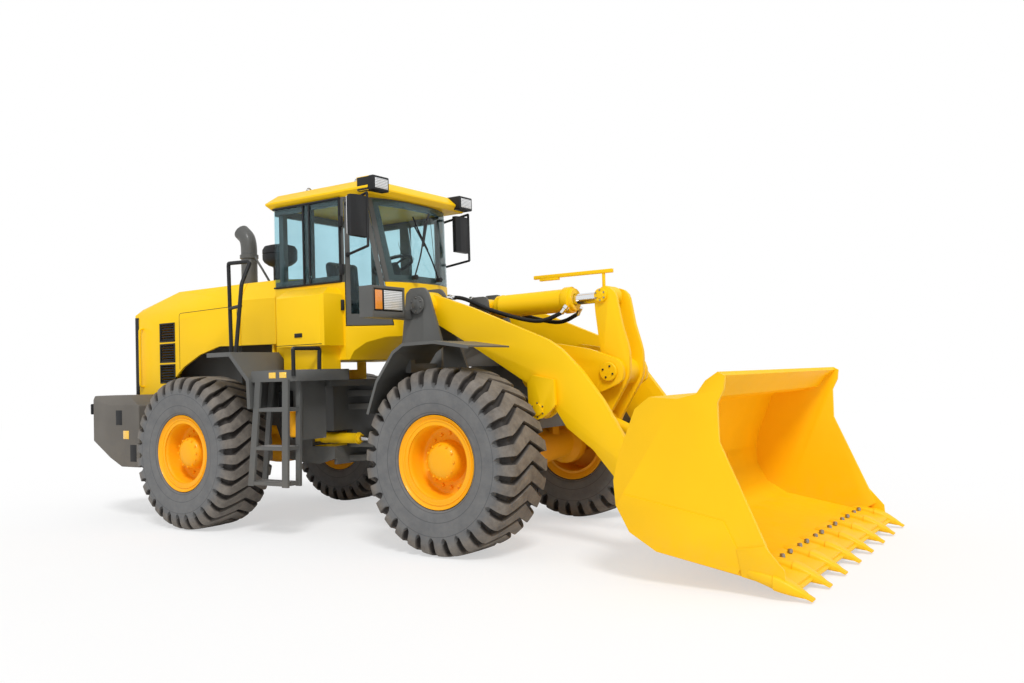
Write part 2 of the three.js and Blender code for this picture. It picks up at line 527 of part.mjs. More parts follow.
// ---- Rear frame: two rails, hinge lugs, cross plates and the rear axle's cradle -------------------
function rearFrame() {
  const railPlate = sidePlate([
    [BAY_X + TOUCH, 700], [-2150, 700], [-1980, 990], [-1220, 990], [-1050, 640], [-620, 600], [-380, 660],
    [-380, 1390], [-1050, 1390], [-1250, 1180], [BAY_X + TOUCH, 1180],
  ], RAIL_Y, RAIL_Y + RAIL_T);
  const walls = [
    block(-420, -380, -RAIL_Y, RAIL_Y, 600, 1390),
    block(-1090, -1050, -RAIL_Y, RAIL_Y, 640, 740),
    block(-2190, -2150, -RAIL_Y, RAIL_Y, 700, 1180),
    block(BAY_X + TOUCH, BAY_X + 40, -RAIL_Y, RAIL_Y, 700, 1180),
    block(-1450, -1400, -RAIL_Y, RAIL_Y, 1100, 1180),
  ];
  const cradle = block(-AXLE_X - 150, -AXLE_X + 150, -RAIL_Y, RAIL_Y, 1010, 1090);
  const lugs = HINGE_LEVELS.map((z) => [-1, 1].map((level) =>
    hingePlate(z + level * (HINGE_T + 8), -1, 400, 260))).flat();
  const pins = HINGE_LEVELS.map((z) => post(0, 0, z - HINGE_T * 1.5 - 10, z + HINGE_T * 1.5 + 10, HINGE_PIN_R, 16));
  const steerPin = [-1, 1].map((s) => post(STEER_BASE[0], s * STEER_BASE[1], STEER_Z - 75, STEER_Z + 75, 24, 16));
  const steerShelf = [-1, 1].map((level) => block(
    STEER_BASE[0] - 60, STEER_BASE[0] + 60, -RAIL_Y - 5, RAIL_Y + 5,
    STEER_Z + level * 62 - 14, STEER_Z + level * 62 + 14));
  const coverMount = block(-1060, -920, -620, 620, 1330, 1450);
  const topPlate = block(-560, -120, -300, 300, 1385, 1450);
  const deckArms = [-500, -150].map((x) => block(x - 30, x + 30, -760, 760, 1390, 1450));
  const ear = join(
    sidePlate([[BAY_X + 2, 1150], [BAY_X + 100, 1150], [HINGE_LINE[0] + 34, 1276, 12], [HINGE_LINE[0] - 34, 1276, 12]], 300, 330),
    acrossBar(HINGE_LINE, 305, 390, 16, 16));
  const hoodEars = [ear, mirrored(ear)];
  const engineFeet = [-2900, -2350].map((x) => block(x - 60, x + 60, -RAIL_Y, RAIL_Y, 1090, 1180));
  const steerSlot = block(-690, -370, 195, 520, 780, 940);
  const steerRelief = block(-372, -110, 160, 265, 796, 925);
  const frame = join(
    bothSides(railPlate), ...walls, cradle, ...lugs, ...pins, ...steerPin, ...steerShelf,
    coverMount, topPlate, ...deckArms, ...engineFeet, ...hoodEars);
  return cut(frame, steerSlot, mirrored(steerSlot), steerRelief, mirrored(steerRelief));
}
add('rear_frame', rearFrame(), SLATE);
add('rear_axle', axle(-AXLE_X, 1010, 200), YELLOW);

add('engine_block', block(-2960, -1900, -330, 330, 1180 + TOUCH, 2050), SLATE);
function transmission() {
  const box = block(-1160, -800, -250, 250, 950, 1320);
  const drop = block(-1100, -800, -160, 160, 740 + TOUCH, 960);
  const flange = bar([-805, 0, 850], [-788, 0, 850], 70, 12);
  return join(box, drop, flange);
}
add('transmission', transmission(), YELLOW);

// ---- Counterweight: a cast slab with bevelled rear corners and raised outer shoulders -------------
const BALLAST_FRONT_X = -2520;
function counterweight() {
  const half = COUNTERWEIGHT_HALF_W;
  const slab = planPlate([
    [REAR_X, -half + 200], [REAR_X + 120, -half + 60], [REAR_X + 520, -half], [BALLAST_FRONT_X, -half],
    [BALLAST_FRONT_X, half], [REAR_X + 520, half], [REAR_X + 120, half - 60], [REAR_X, half - 200],
  ], 580, 1350);
  const toe = sidePlate([[REAR_X - 10, 570], [REAR_X - 10, 900], [REAR_X + 750, 570]], -half - 10, half + 10);
  const slope = sidePlate([
    [REAR_X + 700, 1360], [BALLAST_FRONT_X + 10, 1235], [BALLAST_FRONT_X + 10, 1360]], -half - 10, half + 10);
  const saddle = block(REAR_X - 10, BALLAST_FRONT_X + 10, -HOOD_HALF_W - 60, HOOD_HALF_W + 60, 1215, 1400);
  const bay = block(BAY_X, BALLAST_FRONT_X + 10, -RAIL_Y - RAIL_T - 15, RAIL_Y + RAIL_T + 15, 560, 1400);
  const bevel = section([[half - 110, 1360], [half + 10, 1360], [half + 10, 1235]], REAR_X - 10, BALLAST_FRONT_X + 10);
  return cut(slab, toe, slope, saddle, bay, bevel, mirrored(bevel));
}
add('counterweight', counterweight(), BALLAST);

// ---- Hood and mid cover: one long faceted cover, split across behind the exhaust ------------------
const HOOD_STATIONS = [            // distance along, shoulder height, edge of the top, crown
  [HOOD_REAR_X, 2262, 2335, 2365],
  [-2580, 2285, 2496, 2546],
  [HOOD_FRONT_X, 2315, 2502, 2554],
  [-915, 2306, 2500, 2552],
];
function convex(points) {
  return solid(new ConvexGeometry(points.map((p) => new THREE.Vector3(...p))));
}
function coverVolume(inset) {
  const points = HOOD_STATIONS.map(([x, shoulder, edge, crown], i) => {
    const end = i === 0 ? inset : 0;
    const half = HOOD_HALF_W - inset;
    const ring = [[half, 1200], [half, shoulder - inset * 0.5], [620 - inset * 0.4, edge - inset], [0, crown - inset]];
    return ring.flatMap(([y, z]) => [[x + end, y, z], [x + end, -y, z]]);
  }).flat();
  return convex(points);
}
const ARCH = [
  [HOOD_REAR_X - 100, 1190], [HOOD_REAR_X - 100, 1255], [-2760, 1255], [-2630, 1462], [-2400, 1640], [-2124, 1765],
  [-1792, 1846], [-900, 1830], [-900, 1190],
];
const coverShell = cut(coverVolume(0), coverVolume(HOOD_SHEET), sidePlate(ARCH, -800, 800));
const STACK_X = -1640;
const STACK_Y = 420;
const STACK_R = 89;
const tongueBox = (gap) => block(-1760 - gap, HOOD_FRONT_X + 10, -555 - gap, -275 + gap, 2200, 2700);
function hood() {
  const rear = block(HOOD_REAR_X - 10, HOOD_FRONT_X, -800, 800, 1100, 2700);
  const vents = [0, 1, 2].map((i) => block(-2800, -2550, -800, 800, 1480 + i * 232, 1670 + i * 232));
  const ribs = [-2480, -1520].map((x) => join(
    cut(block(x, x + 26, -690, 690, 2000, 2600), block(x - 5, x + 31, -640, 640, 1990, 2440))));
  const frame = join(...ribs).intersect(coverVolume(HOOD_SHEET - 4));
  return cut(join(coverShell.intersect(rear), frame), tongueBox(6), ...vents);
}
add('hood', hood(), YELLOW);

function grille() {
  const half = HOOD_HALF_W - 70;
  const panel = section([
    [-half, 1300], [half, 1300], [half, 2180], [560, 2290], [0, 2325], [-560, 2290], [-half, 2180],
  ], HOOD_REAR_X - 66, HOOD_REAR_X - TOUCH);
  const opening = block(HOOD_REAR_X - 80, HOOD_REAR_X - 24, -half + 60, half - 60, 1360, 2160);
  const slats = Array.from({ length: 9 }, (_, i) =>
    block(HOOD_REAR_X - 60, HOOD_REAR_X - 22, -half + 55, half - 55, 1420 + i * 82, 1444 + i * 82));
  const lug = sidePlate([
    [HINGE_LINE[0] - 36, 1226, 12], [HINGE_LINE[0] + 40, 1226, 12], [HINGE_LINE[0] + 40, 1315], [HINGE_LINE[0] - 30, 1315, 12],
  ], 350, 376);
  const bore = acrossBar(HINGE_LINE, 300, 420, 16 + RUN, 16);
  const whole = join(cut(panel, opening), ...slats, lug, mirrored(lug));
  return cut(whole, bore, mirrored(bore));
}
add('radiator_grille', grille(), BLACK);

const CLEANER_X = -1200;
const CLEANER_Y = -380;
const CLEANER_NECK_R = 70;
const upright = (profile, z) =>
  turned(profile, [0, 0], 0, 16).rotate([90, 0, 0]).translate([CLEANER_X, CLEANER_Y, z]);
function midCover() {
  const front = block(HOOD_FRONT_X + 6, -900, -800, 800, 1100, 2700);
  const tongue = tongueBox(0).intersect(coverShell);
  const bulkhead = cut(
    block(-1010, -980, -690, 690, 1450 + TOUCH, 2600).intersect(coverVolume(HOOD_SHEET - 4)),
    block(-1020, -970, -560, 560, 1560, 2380));
  const stackHole = post(STACK_X, -STACK_Y, 2200, 2700, STACK_R + TOUCH, 16);
  const cleanerHole = upright([[0, 0], [CLEANER_NECK_R + TOUCH, 0], [CLEANER_NECK_R + TOUCH, 300], [0, 300]], 2400);
  return cut(join(coverShell.intersect(front), tongue, bulkhead), stackHole, cleanerHole);
}
add('mid_cover', midCover(), YELLOW);

function exhaust() {
  const pipe = post(STACK_X, -STACK_Y, 2280, 3010, STACK_R, 16);
  const outlet = bar([STACK_X + 12, -STACK_Y, 2975], [STACK_X - 170, -STACK_Y, 3200], STACK_R - 4, 16);
  const trim = block(STACK_X - 400, STACK_X - 40, -STACK_Y - 200, -STACK_Y + 200, 3165, 3400);
  const bore = bar([STACK_X - 40, -STACK_Y, 3040], [STACK_X - 190, -STACK_Y, 3225], STACK_R - 14, 16);
  const collar = post(STACK_X, -STACK_Y, 2800, 2840, STACK_R + 10, 16);
  const strut = bar([STACK_X + 85, -STACK_Y, 2820], [-1330, -STACK_Y, 2532], 12, 8);
  return join(cut(join(pipe, outlet), trim, bore), collar, strut);
}
add('exhaust_stack', exhaust(), BLACK);

add('air_precleaner', upright([
  [0, 0], [CLEANER_NECK_R, 0], [CLEANER_NECK_R, 240], [120, 255], [170, 290], [185, 320], [185, 420], [150, 462],
  [60, 474], [0, 474],
], 2440), BLACK);

// ---- Cab: a convex shell with a tapering nose, cut into base, upper frame, doors and glass --------
const lerp = (a, b, t) => a + (b - a) * t;
// The windscreen pillar leans back within the flat door face, which starts at the door post.
function noseAt(z) {
  const reach = lerp(FACE_LOW, FACE_HIGH, (z - CAB_FLOOR_Z) / (CAB_TOP_Z - CAB_FLOOR_Z));
  return [CAB_POST_X + Math.cos(FACE_ANGLE) * reach, CAB_HALF_W - Math.sin(FACE_ANGLE) * reach];
}
function inset(points, distance) {
  const lines = points.map((point, i) => {
    const next = points[(i + 1) % points.length];
    const along = new THREE.Vector2(next[0] - point[0], next[1] - point[1]).normalize();
    return { x: point[0] - along.y * distance, y: point[1] + along.x * distance, along };
  });
  return lines.map((line, i) => {
    const last = lines.at(i - 1);
    const cross = last.along.x * line.along.y - last.along.y * line.along.x;
    const reach = ((line.x - last.x) * line.along.y - (line.y - last.y) * line.along.x) / cross;
    return [last.x + last.along.x * reach, last.y + last.along.y * reach];
  });
}
function cabRing(z, distance) {
  const [x, y] = noseAt(z);
  const left = [[x + 97, y * 0.35], [x + 55, y * 0.72], [x, y], [CAB_POST_X, CAB_HALF_W], [CAB_REAR_X + 50, CAB_HALF_W],
    [CAB_REAR_X, CAB_HALF_W - 50]];
  const ring = [...left, ...left.map(([u, v]) => [u, -v]).reverse()];
  return inset(ring, distance).map(([u, v]) => [u, v, z]);
}
const cabSolid = (distance) => convex([...cabRing(CAB_FLOOR_Z, distance), ...cabRing(CAB_TOP_Z, distance)]);
const cabVolume = (distance, z0, z1) => cabSolid(distance).intersect(block(-1000, 900, -900, 900, z0, z1));
const cabWall = (outer, inner, z0, z1) => cut(cabVolume(outer, z0, z1), cabSolid(inner));

// A block along the slanting face between the door post and the windscreen pillar on the left side,
// given by how far it stops short of each.
function facePiece(fromPost, fromNose, z0, z1, out = 60, deep = 120) {
  const ring = (z) => {
    const start = new THREE.Vector2(CAB_POST_X, CAB_HALF_W);
    const nose = new THREE.Vector2(...noseAt(z));
    const along = nose.clone().sub(start).normalize();
    const outwards = new THREE.Vector2(-along.y, along.x);
    const a = start.clone().addScaledVector(along, fromPost);
    const b = nose.clone().addScaledVector(along, -fromNose);
    return [[a, out], [b, out], [b, -deep], [a, -deep]].map(([p, d]) => {
      const q = p.clone().addScaledVector(outwards, d);
      return [q.x, q.y, z];
    });
  };
  return convex([...ring(z0), ...ring(z1)]);
}
const DOOR_BOTTOM = 1965;
const DOOR_TOP = 3165;
const DOOR_GAP = 7;
const doorOpening = facePiece(4, 48, DOOR_BOTTOM - DOOR_GAP, DOOR_TOP + DOOR_GAP);
const BASE_TOP = 2380;
const REAR_SILL = 2420;

const FLOOR_RAMP = [[80, 1690], [120, 1760], [210, 1840], [350, 1893], [800, 1912]];
function cabBase() {
  const underside = sidePlate([
    [110, 1600], [150, 1720], [230, 1800], [360, 1850], [800, 1868], [800, 1600]], -900, 900);
  const cavity = sidePlate([[-1000, 1690], ...FLOOR_RAMP, [800, 2500], [-1000, 2500]], -900, 900)
    .intersect(cabSolid(CAB_SHEET));
  const shell = cut(cabVolume(0, CAB_FLOOR_Z, BASE_TOP), cavity, underside, doorOpening, mirrored(doorOpening));
  const box = planPlate([
    [-550, CAB_HALF_W - 15], [78, CAB_HALF_W - 15], [78, 1030], [48, 1060], [-520, 1060], [-550, 1030]], 1775, 2335);
  const slope = section([[880, 2345], [1070, 2345], [1070, 2240]], -600, 120);
  const frontBevel = sidePlate([[0, 2345], [90, 2345], [90, 2250]], 760, 1070);
  const skirt = block(-500, 15, CAB_HALF_W - 15, 1000, DECK_Z + TOUCH, 1776);
  return join(shell, bothSides(join(cut(box, slope, frontBevel), skirt)));
}
add('cab_base', cabBase(), YELLOW);

const GLASS_T = 8;
function cabFrame() {
  const z0 = BASE_TOP + TOUCH;
  const shell = cut(cabVolume(GLASS_T + 1, z0, CAB_TOP_Z), cabSolid(GLASS_T + 1 + CAB_SHEET));
  const sideWindow = block(-330, 30, -900, 900, REAR_SILL + 30, CAB_TOP_Z - 70);
  const rearWindow = block(-1000, -460, -900, 900, REAR_SILL + 30, CAB_TOP_Z - 70);
  const screen = convex([z0 + 70, CAB_TOP_Z - 70].flatMap((z) => {
    const [x, y] = noseAt(z);
    return [[x - 30, y - 62, z], [x - 30, 62 - y, z], [900, y - 62, z], [900, 62 - y, z]];
  }));
  const posts = cut(shell, sideWindow, rearWindow, screen, doorOpening, mirrored(doorOpening));
  const rearPost = block(CAB_REAR_X + 60, CAB_REAR_X + 120, 655, 715, z0, CAB_TOP_Z);
  return join(posts, bothSides(rearPost));
}
add('cab_frame', cabFrame(), SLATE);

const paneSkin = cabWall(0, GLASS_T, BASE_TOP + 12, CAB_TOP_Z - 12);
add('cab_glass', paneSkin.intersect(block(-1000, 52, -900, 900, 2300, 3300)), GLASS);
add('windshield', paneSkin.intersect(convex([BASE_TOP, CAB_TOP_Z].flatMap((z) => {
  const [x, y] = noseAt(z);
  return [[x - 40, y - 6, z], [x - 40, 6 - y, z], [900, y - 6, z], [900, 6 - y, z]];
}))), GLASS);

const doorPane = facePiece(58, 104, DOOR_BOTTOM + 110, DOOR_TOP - 50);
function doorFrame() {
  const leaf = cabWall(0, CAB_SHEET, DOOR_BOTTOM - 60, DOOR_TOP + 20).intersect(facePiece(12, 56, DOOR_BOTTOM, DOOR_TOP));
  return cut(leaf, doorPane);
}
addPair('door', doorFrame(), SLATE);
addPair('door_glass', cabWall(14, 14 + GLASS_T, DOOR_BOTTOM - 60, DOOR_TOP + 20)
  .intersect(facePiece(58 + TOUCH, 104 + TOUCH, DOOR_BOTTOM + 110 + TOUCH, DOOR_TOP - 50 - TOUCH)), GLASS);

// Door mirrors on bowed tubes that start from the door's hinge side; the head hangs on one side.
const MIRROR_POST = [440, 800];
function doorMirror(side) {
  const root = (z, out) => {
    const nose = noseAt(z);
    const along = new THREE.Vector2(nose[0] - CAB_POST_X, nose[1] - CAB_HALF_W).normalize();
    return [CAB_POST_X + along.x * 36 - along.y * out, CAB_HALF_W + along.y * 36 + along.x * out, z];
  };
  const [x, y] = MIRROR_POST;
  const arms = rail([root(3130, 14), [x, y, 3190], [x, y, 2690], root(2640, 14)], 13);
  const pads = [3130, 2640].map((z) => bar(root(z, 0.5), root(z, 18), 22, 8));
  const from = side > 0 ? -205 : -20;
  const head = planPlate([
    [x - 60, y + from], [x - 14, y + from - 5], [x + 8, y + from + 50], [x + 8, y + from + 180],
    [x - 14, y + from + 225], [x - 60, y + from + 220],
  ], 2770, 3150);
  return join(arms, ...pads, head);
}
add('mirror_left', doorMirror(1), BLACK);
add('mirror_right', mirrored(doorMirror(-1)), BLACK);

function cabRoof() {
  const rim = [[-1010, 700], [-960, 785], [350, 785], [440, 790], [455, 560], [420, 300], [440, 0]];
  const at3 = (scale, drop, z) => rim.flatMap(([x, y]) => [-1, 1].map((s) => [x - Math.sign(x) * drop, s * (y - (y > 0 ? scale : 0)), z]));
  const slab = convex([...at3(40, 40, CAB_TOP_Z + TOUCH), ...at3(0, 0, 3245), ...at3(0, 0, 3262), ...at3(95, 90, 3345)]);
  const pod = planPlate([[300, 560], [470, 575], [507, 600], [450, 785], [300, 785]], 3218, 3352);
  return join(slab, bothSides(pod));
}
add('cab_roof', cabRoof(), YELLOW);

// ---- Inside the cab: the seat, the steering column with its console -------------------------------
function seat() {
  const base = block(-520, -200, -170, 170, 1690 + TOUCH, 1990);
  const cushion = sidePlate([
    [-610, 1990], [-100, 1990], [-60, 2030, 20], [-70, 2110, 30], [-560, 2090], [-620, 2110]], -250, 250);
  const back = sidePlate([
    [-610, 2080], [-520, 2080], [-640, 2720, 40], [-745, 2720, 40], [-720, 2080]], -235, 235);
  const arms = block(-640, -240, 275, 345, 2200, 2260);
  const armPost = block(-640, -560, 225, 345, 2080, 2260);
  return join(base, cushion, back, bothSides(join(arms, armPost)));
}
add('seat', seat(), SEAT_CLOTH);

const WHEEL_CENTRE = [50, 2610];
function steeringColumn() {
  const tilt = 24;
  const ring = solid(new THREE.TorusGeometry(205, 15, 6, 20));
  const spokes = [0, 120, 240].map((turn) => bar([0, 0, -8], [200, 0, 0], 12, 6).rotate([0, 0, turn]));
  const boss = bar([0, 0, -60], [0, 0, 10], 50, 12);
  const wheel = join(ring, ...spokes, boss).rotate([0, tilt - 46, 0]).translate([WHEEL_CENTRE[0], 0, WHEEL_CENTRE[1]]);
  const column = bar([WHEEL_CENTRE[0] + 10, 0, WHEEL_CENTRE[1] - 30], [300, 0, 1905], 55, 12);
  const foot = block(225, 400, -110, 110, 1800, 2020);
  const under = sidePlate([...FLOOR_RAMP.map(([x, z]) => [x, z + TOUCH]), [800, 1500], [80, 1500]], -400, 400);
  const dash = sidePlate([[250, 2010], [400, 2010], [330, 2430, 30], [210, 2400, 30]], -190, 190);
  return cut(join(wheel, column, foot, dash), under);
}
add('steering_console', steeringColumn(), BLACK);

// ---- Access platform: deck, ladder, battery box, rear fender and hand rails -----------------------
const LADDER_FRONT = [[-100, 1454], [-133, 486]];
const LADDER_REAR = [[-457, 1506], [-588, 486]];
const STEP_LEVELS = [515, 839, 1194];
function platform() {
  const deck = planPlate([
    [-555, 640], [10, 640], [20, 780], [20, 1200], [-80, DECK_EDGE_Y], [-555, DECK_EDGE_Y]], 1450 + TOUCH, DECK_Z);
  const stringer = (line, width) => sidePlate([
    [line[0][0] - width / 2, line[0][1]], [line[1][0] - width / 2, line[1][1]],
    [line[1][0] + width / 2, line[1][1]], [line[0][0] + width / 2, line[0][1] + 10],
  ], DECK_EDGE_Y - 24, DECK_EDGE_Y);
  const inboard = (line, width) => stringer(line, width).translate([0, -160, 0]);
  const onLine = (line, z) => lerp(line[0][0], line[1][0], (line[0][1] - z) / (line[0][1] - line[1][1]));
  const steps = STEP_LEVELS.map((z) => block(
    onLine(LADDER_REAR, z) - 10, onLine(LADDER_FRONT, z) + 10, DECK_EDGE_Y - 184, DECK_EDGE_Y - 2, z - 18, z + 14));
  const box = block(-440, -165, 790, 1090, 900, 1450 + TOUCH + 5);
  const fender = strip([[-540, 1206], [-552, 1480], [-812, 1745], [-1150, 1745]], 16, 780, 1388);
  const fenderEdge = strip([[-540, 1206], [-552, 1480], [-812, 1745], [-1150, 1745]], 42, 1376, 1388);
  const grab = rail([
    [-40, 1310, 1500], [-40, 1310, 1750], [10, 1030, 1750], [0, 1030, 1500]], 17);
  const railing = rail([
    [-830, 1300, 1735], [-790, 1250, 2400], [-800, 1130, 2630], [-1120, 1130, 2640], [-1100, 1130, 1735],
  ], 18);
  const middle = bar([-798, 1260, 2190], [-1110, 1130, 2190], 15, 6);
  return join(
    deck, stringer(LADDER_FRONT, 75), stringer(LADDER_REAR, 75), inboard(LADDER_FRONT, 60), inboard(LADDER_REAR, 60),
    ...steps, box, fender, fenderEdge, grab, railing, middle);
}
addPair('access_platform', platform(), SLATE);

// ---- Hoses to the tilt cylinder ------------------------------------------------------------------
const HOSE_R = 19;
addPair('tilt_hose', tube([
  [905, 178, 2207], [1083, 178, 2178], [1425, 185, 2039], [1859, 175, 1925], [2090, 150, 1975], [2150, 130, 2030],
], HOSE_R, 14, 3), BLACK);

machine.position.set(LENGTH_SHIFT, 0, 0);
const root = new THREE.Group();
root.add(machine);
export default root;
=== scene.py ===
# %% [markdown]
# # A wheel loader, finished in Blender
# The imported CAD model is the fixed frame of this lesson. It gives every size and every joint, and
# this script gives it surfaces: round tyres with lugs, painted steel with soft edges, tinted glass,
# hoses and a padded seat. Everything is in metres, with +X forward, +Y to the driver's left and +Z
# up.

# %% Load the frame
import json
import math
import bmesh
import bpy
import numpy as np
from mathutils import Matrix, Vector


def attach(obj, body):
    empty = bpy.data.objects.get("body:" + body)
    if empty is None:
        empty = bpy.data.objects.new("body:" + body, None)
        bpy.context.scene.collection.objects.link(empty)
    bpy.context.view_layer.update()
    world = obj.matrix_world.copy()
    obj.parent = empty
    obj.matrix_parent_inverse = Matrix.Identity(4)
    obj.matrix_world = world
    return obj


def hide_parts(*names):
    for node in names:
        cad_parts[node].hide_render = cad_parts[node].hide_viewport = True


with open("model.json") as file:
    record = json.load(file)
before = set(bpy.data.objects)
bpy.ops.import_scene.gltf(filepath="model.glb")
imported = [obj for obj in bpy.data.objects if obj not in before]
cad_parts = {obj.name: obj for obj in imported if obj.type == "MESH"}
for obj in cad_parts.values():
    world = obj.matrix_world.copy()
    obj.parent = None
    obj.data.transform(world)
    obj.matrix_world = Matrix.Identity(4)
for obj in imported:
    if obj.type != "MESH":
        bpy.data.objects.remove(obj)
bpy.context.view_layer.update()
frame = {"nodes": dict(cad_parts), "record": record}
scene = bpy.context.scene
tau = 2 * math.pi

# %% [markdown]
# ## Camera
# A loader is usually shown from the front corner at eye height, so that the bucket, one side and
# the cab are all seen. The drawing origin of the CAD is the steering pivot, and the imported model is
# moved back by half of its length. `P` does the same move for any point measured from the pivot.

# %% Camera
SHIFT = -0.506


def P(x, y, z):
    """A point measured from the steering pivot on the ground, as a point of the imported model."""
    return np.array([x + SHIFT, y, z])


SIDES = (("left", 1), ("right", -1))


def across(g, points):
    """Points given for the left side, carried to side g: y times 1 on the left, -1 on the right."""
    return [P(x, g * y, z) for x, y, z in points]


def corners(g, lo, hi):
    """Two opposite corners given for the left side, carried to side g and put in order."""
    a, b = across(g, (lo, hi))
    return np.minimum(a, b), np.maximum(a, b)


YAW, PITCH, ROLL = math.radians(33.3), math.radians(-2.06), math.radians(-1.75)
ahead = Vector((-math.sin(YAW) * math.cos(PITCH), math.cos(YAW) * math.cos(PITCH),
                -math.sin(PITCH)))
level = Vector((math.cos(YAW), math.sin(YAW), 0))
upward = level.cross(ahead)
side_axis = level * math.cos(ROLL) + upward * math.sin(ROLL)
up_axis = upward * math.cos(ROLL) - level * math.sin(ROLL)
lens = bpy.data.cameras.new("camera")
lens.sensor_width, lens.lens = 36, 31.88
lens.clip_start, lens.clip_end = 0.1, 200
camera = bpy.data.objects.new("camera", lens)
scene.collection.objects.link(camera)
turn = camera.matrix_world.copy()
for column, axis in enumerate((side_axis, up_axis, -ahead)):
    for row in range(3):
        turn[row][column] = axis[row]
turn.translation = P(6.151, -7.105, 1.454)
camera.matrix_world = turn
scene.camera = camera
print("camera at", [round(v, 3) for v in turn.translation])

# %% [markdown]
# ## Surfaces from numpy
# A mesh is only a list of points and a list of faces. When a shape is a function of two parameters,
# both lists come from whole arrays at once: the points are a grid, and each face joins four
# neighbours of that grid. A grid can close on itself in either direction, and its two open ends can
# be closed with one flat face each.

# %% Grid surface
def from_grid(name, points, close_u=True, close_v=False, caps=False, smooth=True):
    """Mesh of a U by V grid of points: face (i, j) joins (i, j), (i+1, j), (i+1, j+1), (i, j+1).
    U runs round the shape and V along it; caps close the first and last ring."""
    points = np.asarray(points, float)
    nu, nv = points.shape[:2]
    i = np.arange(nu if close_u else nu - 1)[:, None]
    j = np.arange(nv if close_v else nv - 1)[None, :]
    i2, j2 = (i + 1) % nu, (j + 1) % nv
    quads = np.stack([i * nv + j, i2 * nv + j, i2 * nv + j2, i * nv + j2], -1).reshape(-1, 4)
    faces = quads.tolist()
    if caps:
        rings = np.arange(nu) * nv
        faces += [rings[::-1].tolist(), (rings + nv - 1).tolist()]
    mesh = bpy.data.meshes.new(name)
    mesh.from_pydata(points.reshape(-1, 3).tolist(), [], faces)
    return finish_mesh(name, mesh, smooth)


def finish_mesh(name, mesh, smooth=True, weld=1e-6):
    """Welds doubles, points the faces outwards, shades edges under 38 degrees smooth."""
    bm = bmesh.new()
    bm.from_mesh(mesh)
    bmesh.ops.remove_doubles(bm, verts=bm.verts, dist=weld)
    bmesh.ops.dissolve_degenerate(bm, edges=bm.edges, dist=weld)
    bmesh.ops.recalc_face_normals(bm, faces=bm.faces)
    bm.to_mesh(mesh)
    bm.free()
    if smooth:
        mesh.shade_smooth()
        mesh.set_sharp_from_angle(angle=math.radians(38))
    obj = bpy.data.objects.new(name, mesh)
    scene.collection.objects.link(obj)
    return obj


def points_of(mesh):
    """All points of a mesh, one row of x, y, z each."""
    flat = np.empty(len(mesh.vertices) * 3)
    mesh.vertices.foreach_get("co", flat)
    return flat.reshape(-1, 3)


print("grid tools ready")

# %% [markdown]
# Most of a machine is turned, bent from tube, or a block with eased edges. Three functions cover
# these. A lathe turns a profile about an axis. A sweep carries a circle along a path. A rounded
# block is a ball whose eight eighths are pulled apart: each point of the ball moves by the sign of
# its own direction, so flat faces open between the eighths.

# %% Lathe, sweep and rounded block
AXES = {"x": (1, 2, 0), "y": (2, 0, 1), "z": (0, 1, 2)}


def lathe_points(profile, centre, axis="y", steps=64):
    """Angle a, profile (radius r, along h): point = centre + (r cos a, r sin a, h) on the axes."""
    r, h = np.array(profile, float).T
    a = np.arange(steps) * tau / steps
    u, v, w = AXES[axis]
    out = np.zeros((steps, len(r), 3))
    out[..., u] = np.cos(a)[:, None] * r
    out[..., v] = np.sin(a)[:, None] * r
    out[..., w] = h
    return out + np.asarray(centre)


def lathe(name, profile, centre, axis="y", steps=64):
    return from_grid(name, lathe_points(profile, centre, axis, steps), caps=True)


def along(name, profile, start, end, steps=40):
    """Lathe about the line start to end; the profile gives (radius, distance from start)."""
    start, end = np.asarray(start, float), np.asarray(end, float)
    axis = (end - start) / np.linalg.norm(end - start)
    side = np.cross(axis, (0.05, 1.0, 0.1))
    side /= np.linalg.norm(side)
    other = np.cross(axis, side)
    r, h = np.array(profile, float).T
    a = (np.arange(steps) * tau / steps)[:, None, None]
    points = start + axis * h[:, None] + r[:, None] * (side * np.cos(a) + other * np.sin(a))
    return from_grid(name, points, caps=True)


def frames_along(path):
    """Tangents of a path and two side directions that don't twist: each is the last one, made
    square to the new tangent."""
    path = np.asarray(path, float)
    tangent = np.gradient(path, axis=0)
    tangent /= np.linalg.norm(tangent, axis=1, keepdims=True)
    first = np.cross(tangent[0], (0.1, 0.2, 1.0))
    sides = [first / np.linalg.norm(first)]
    for t in tangent[1:]:
        s = sides[-1] - t * sides[-1].dot(t)
        sides.append(s / np.linalg.norm(s))
    sides = np.array(sides)
    return path, tangent, sides, np.cross(tangent, sides)


def sweep_points(path, radius, around=16, flat=1.0):
    """Angle a and station k: point = path k + radius (side cos a + other side sin a)."""
    path, _, side, other = frames_along(path)
    a = (np.arange(around) * tau / around)[:, None, None]
    r = np.broadcast_to(np.asarray(radius, float), (len(path),))[None, :, None]
    return path + r * (side * np.cos(a) + other * np.sin(a) * flat)


def sweep(name, path, radius, around=16, flat=1.0):
    return from_grid(name, sweep_points(path, radius, around, flat), caps=True)


def smooth_path(points, count=32):
    """A soft curve through the points (Catmull-Rom), with count even parameter steps."""
    p = np.asarray(points, float)
    p = np.vstack([2 * p[0] - p[1], p, 2 * p[-1] - p[-2]])
    t = np.linspace(0, len(p) - 3 - 1e-9, count)
    k = t.astype(int)
    f = (t - k)[:, None]
    a, b, c, d = p[k], p[k + 1], p[k + 2], p[k + 3]
    square, cube = 2 * a - 5 * b + 4 * c - d, 3 * b - a - 3 * c + d
    return 0.5 * (2 * b + (c - a) * f + square * f**2 + cube * f**3)


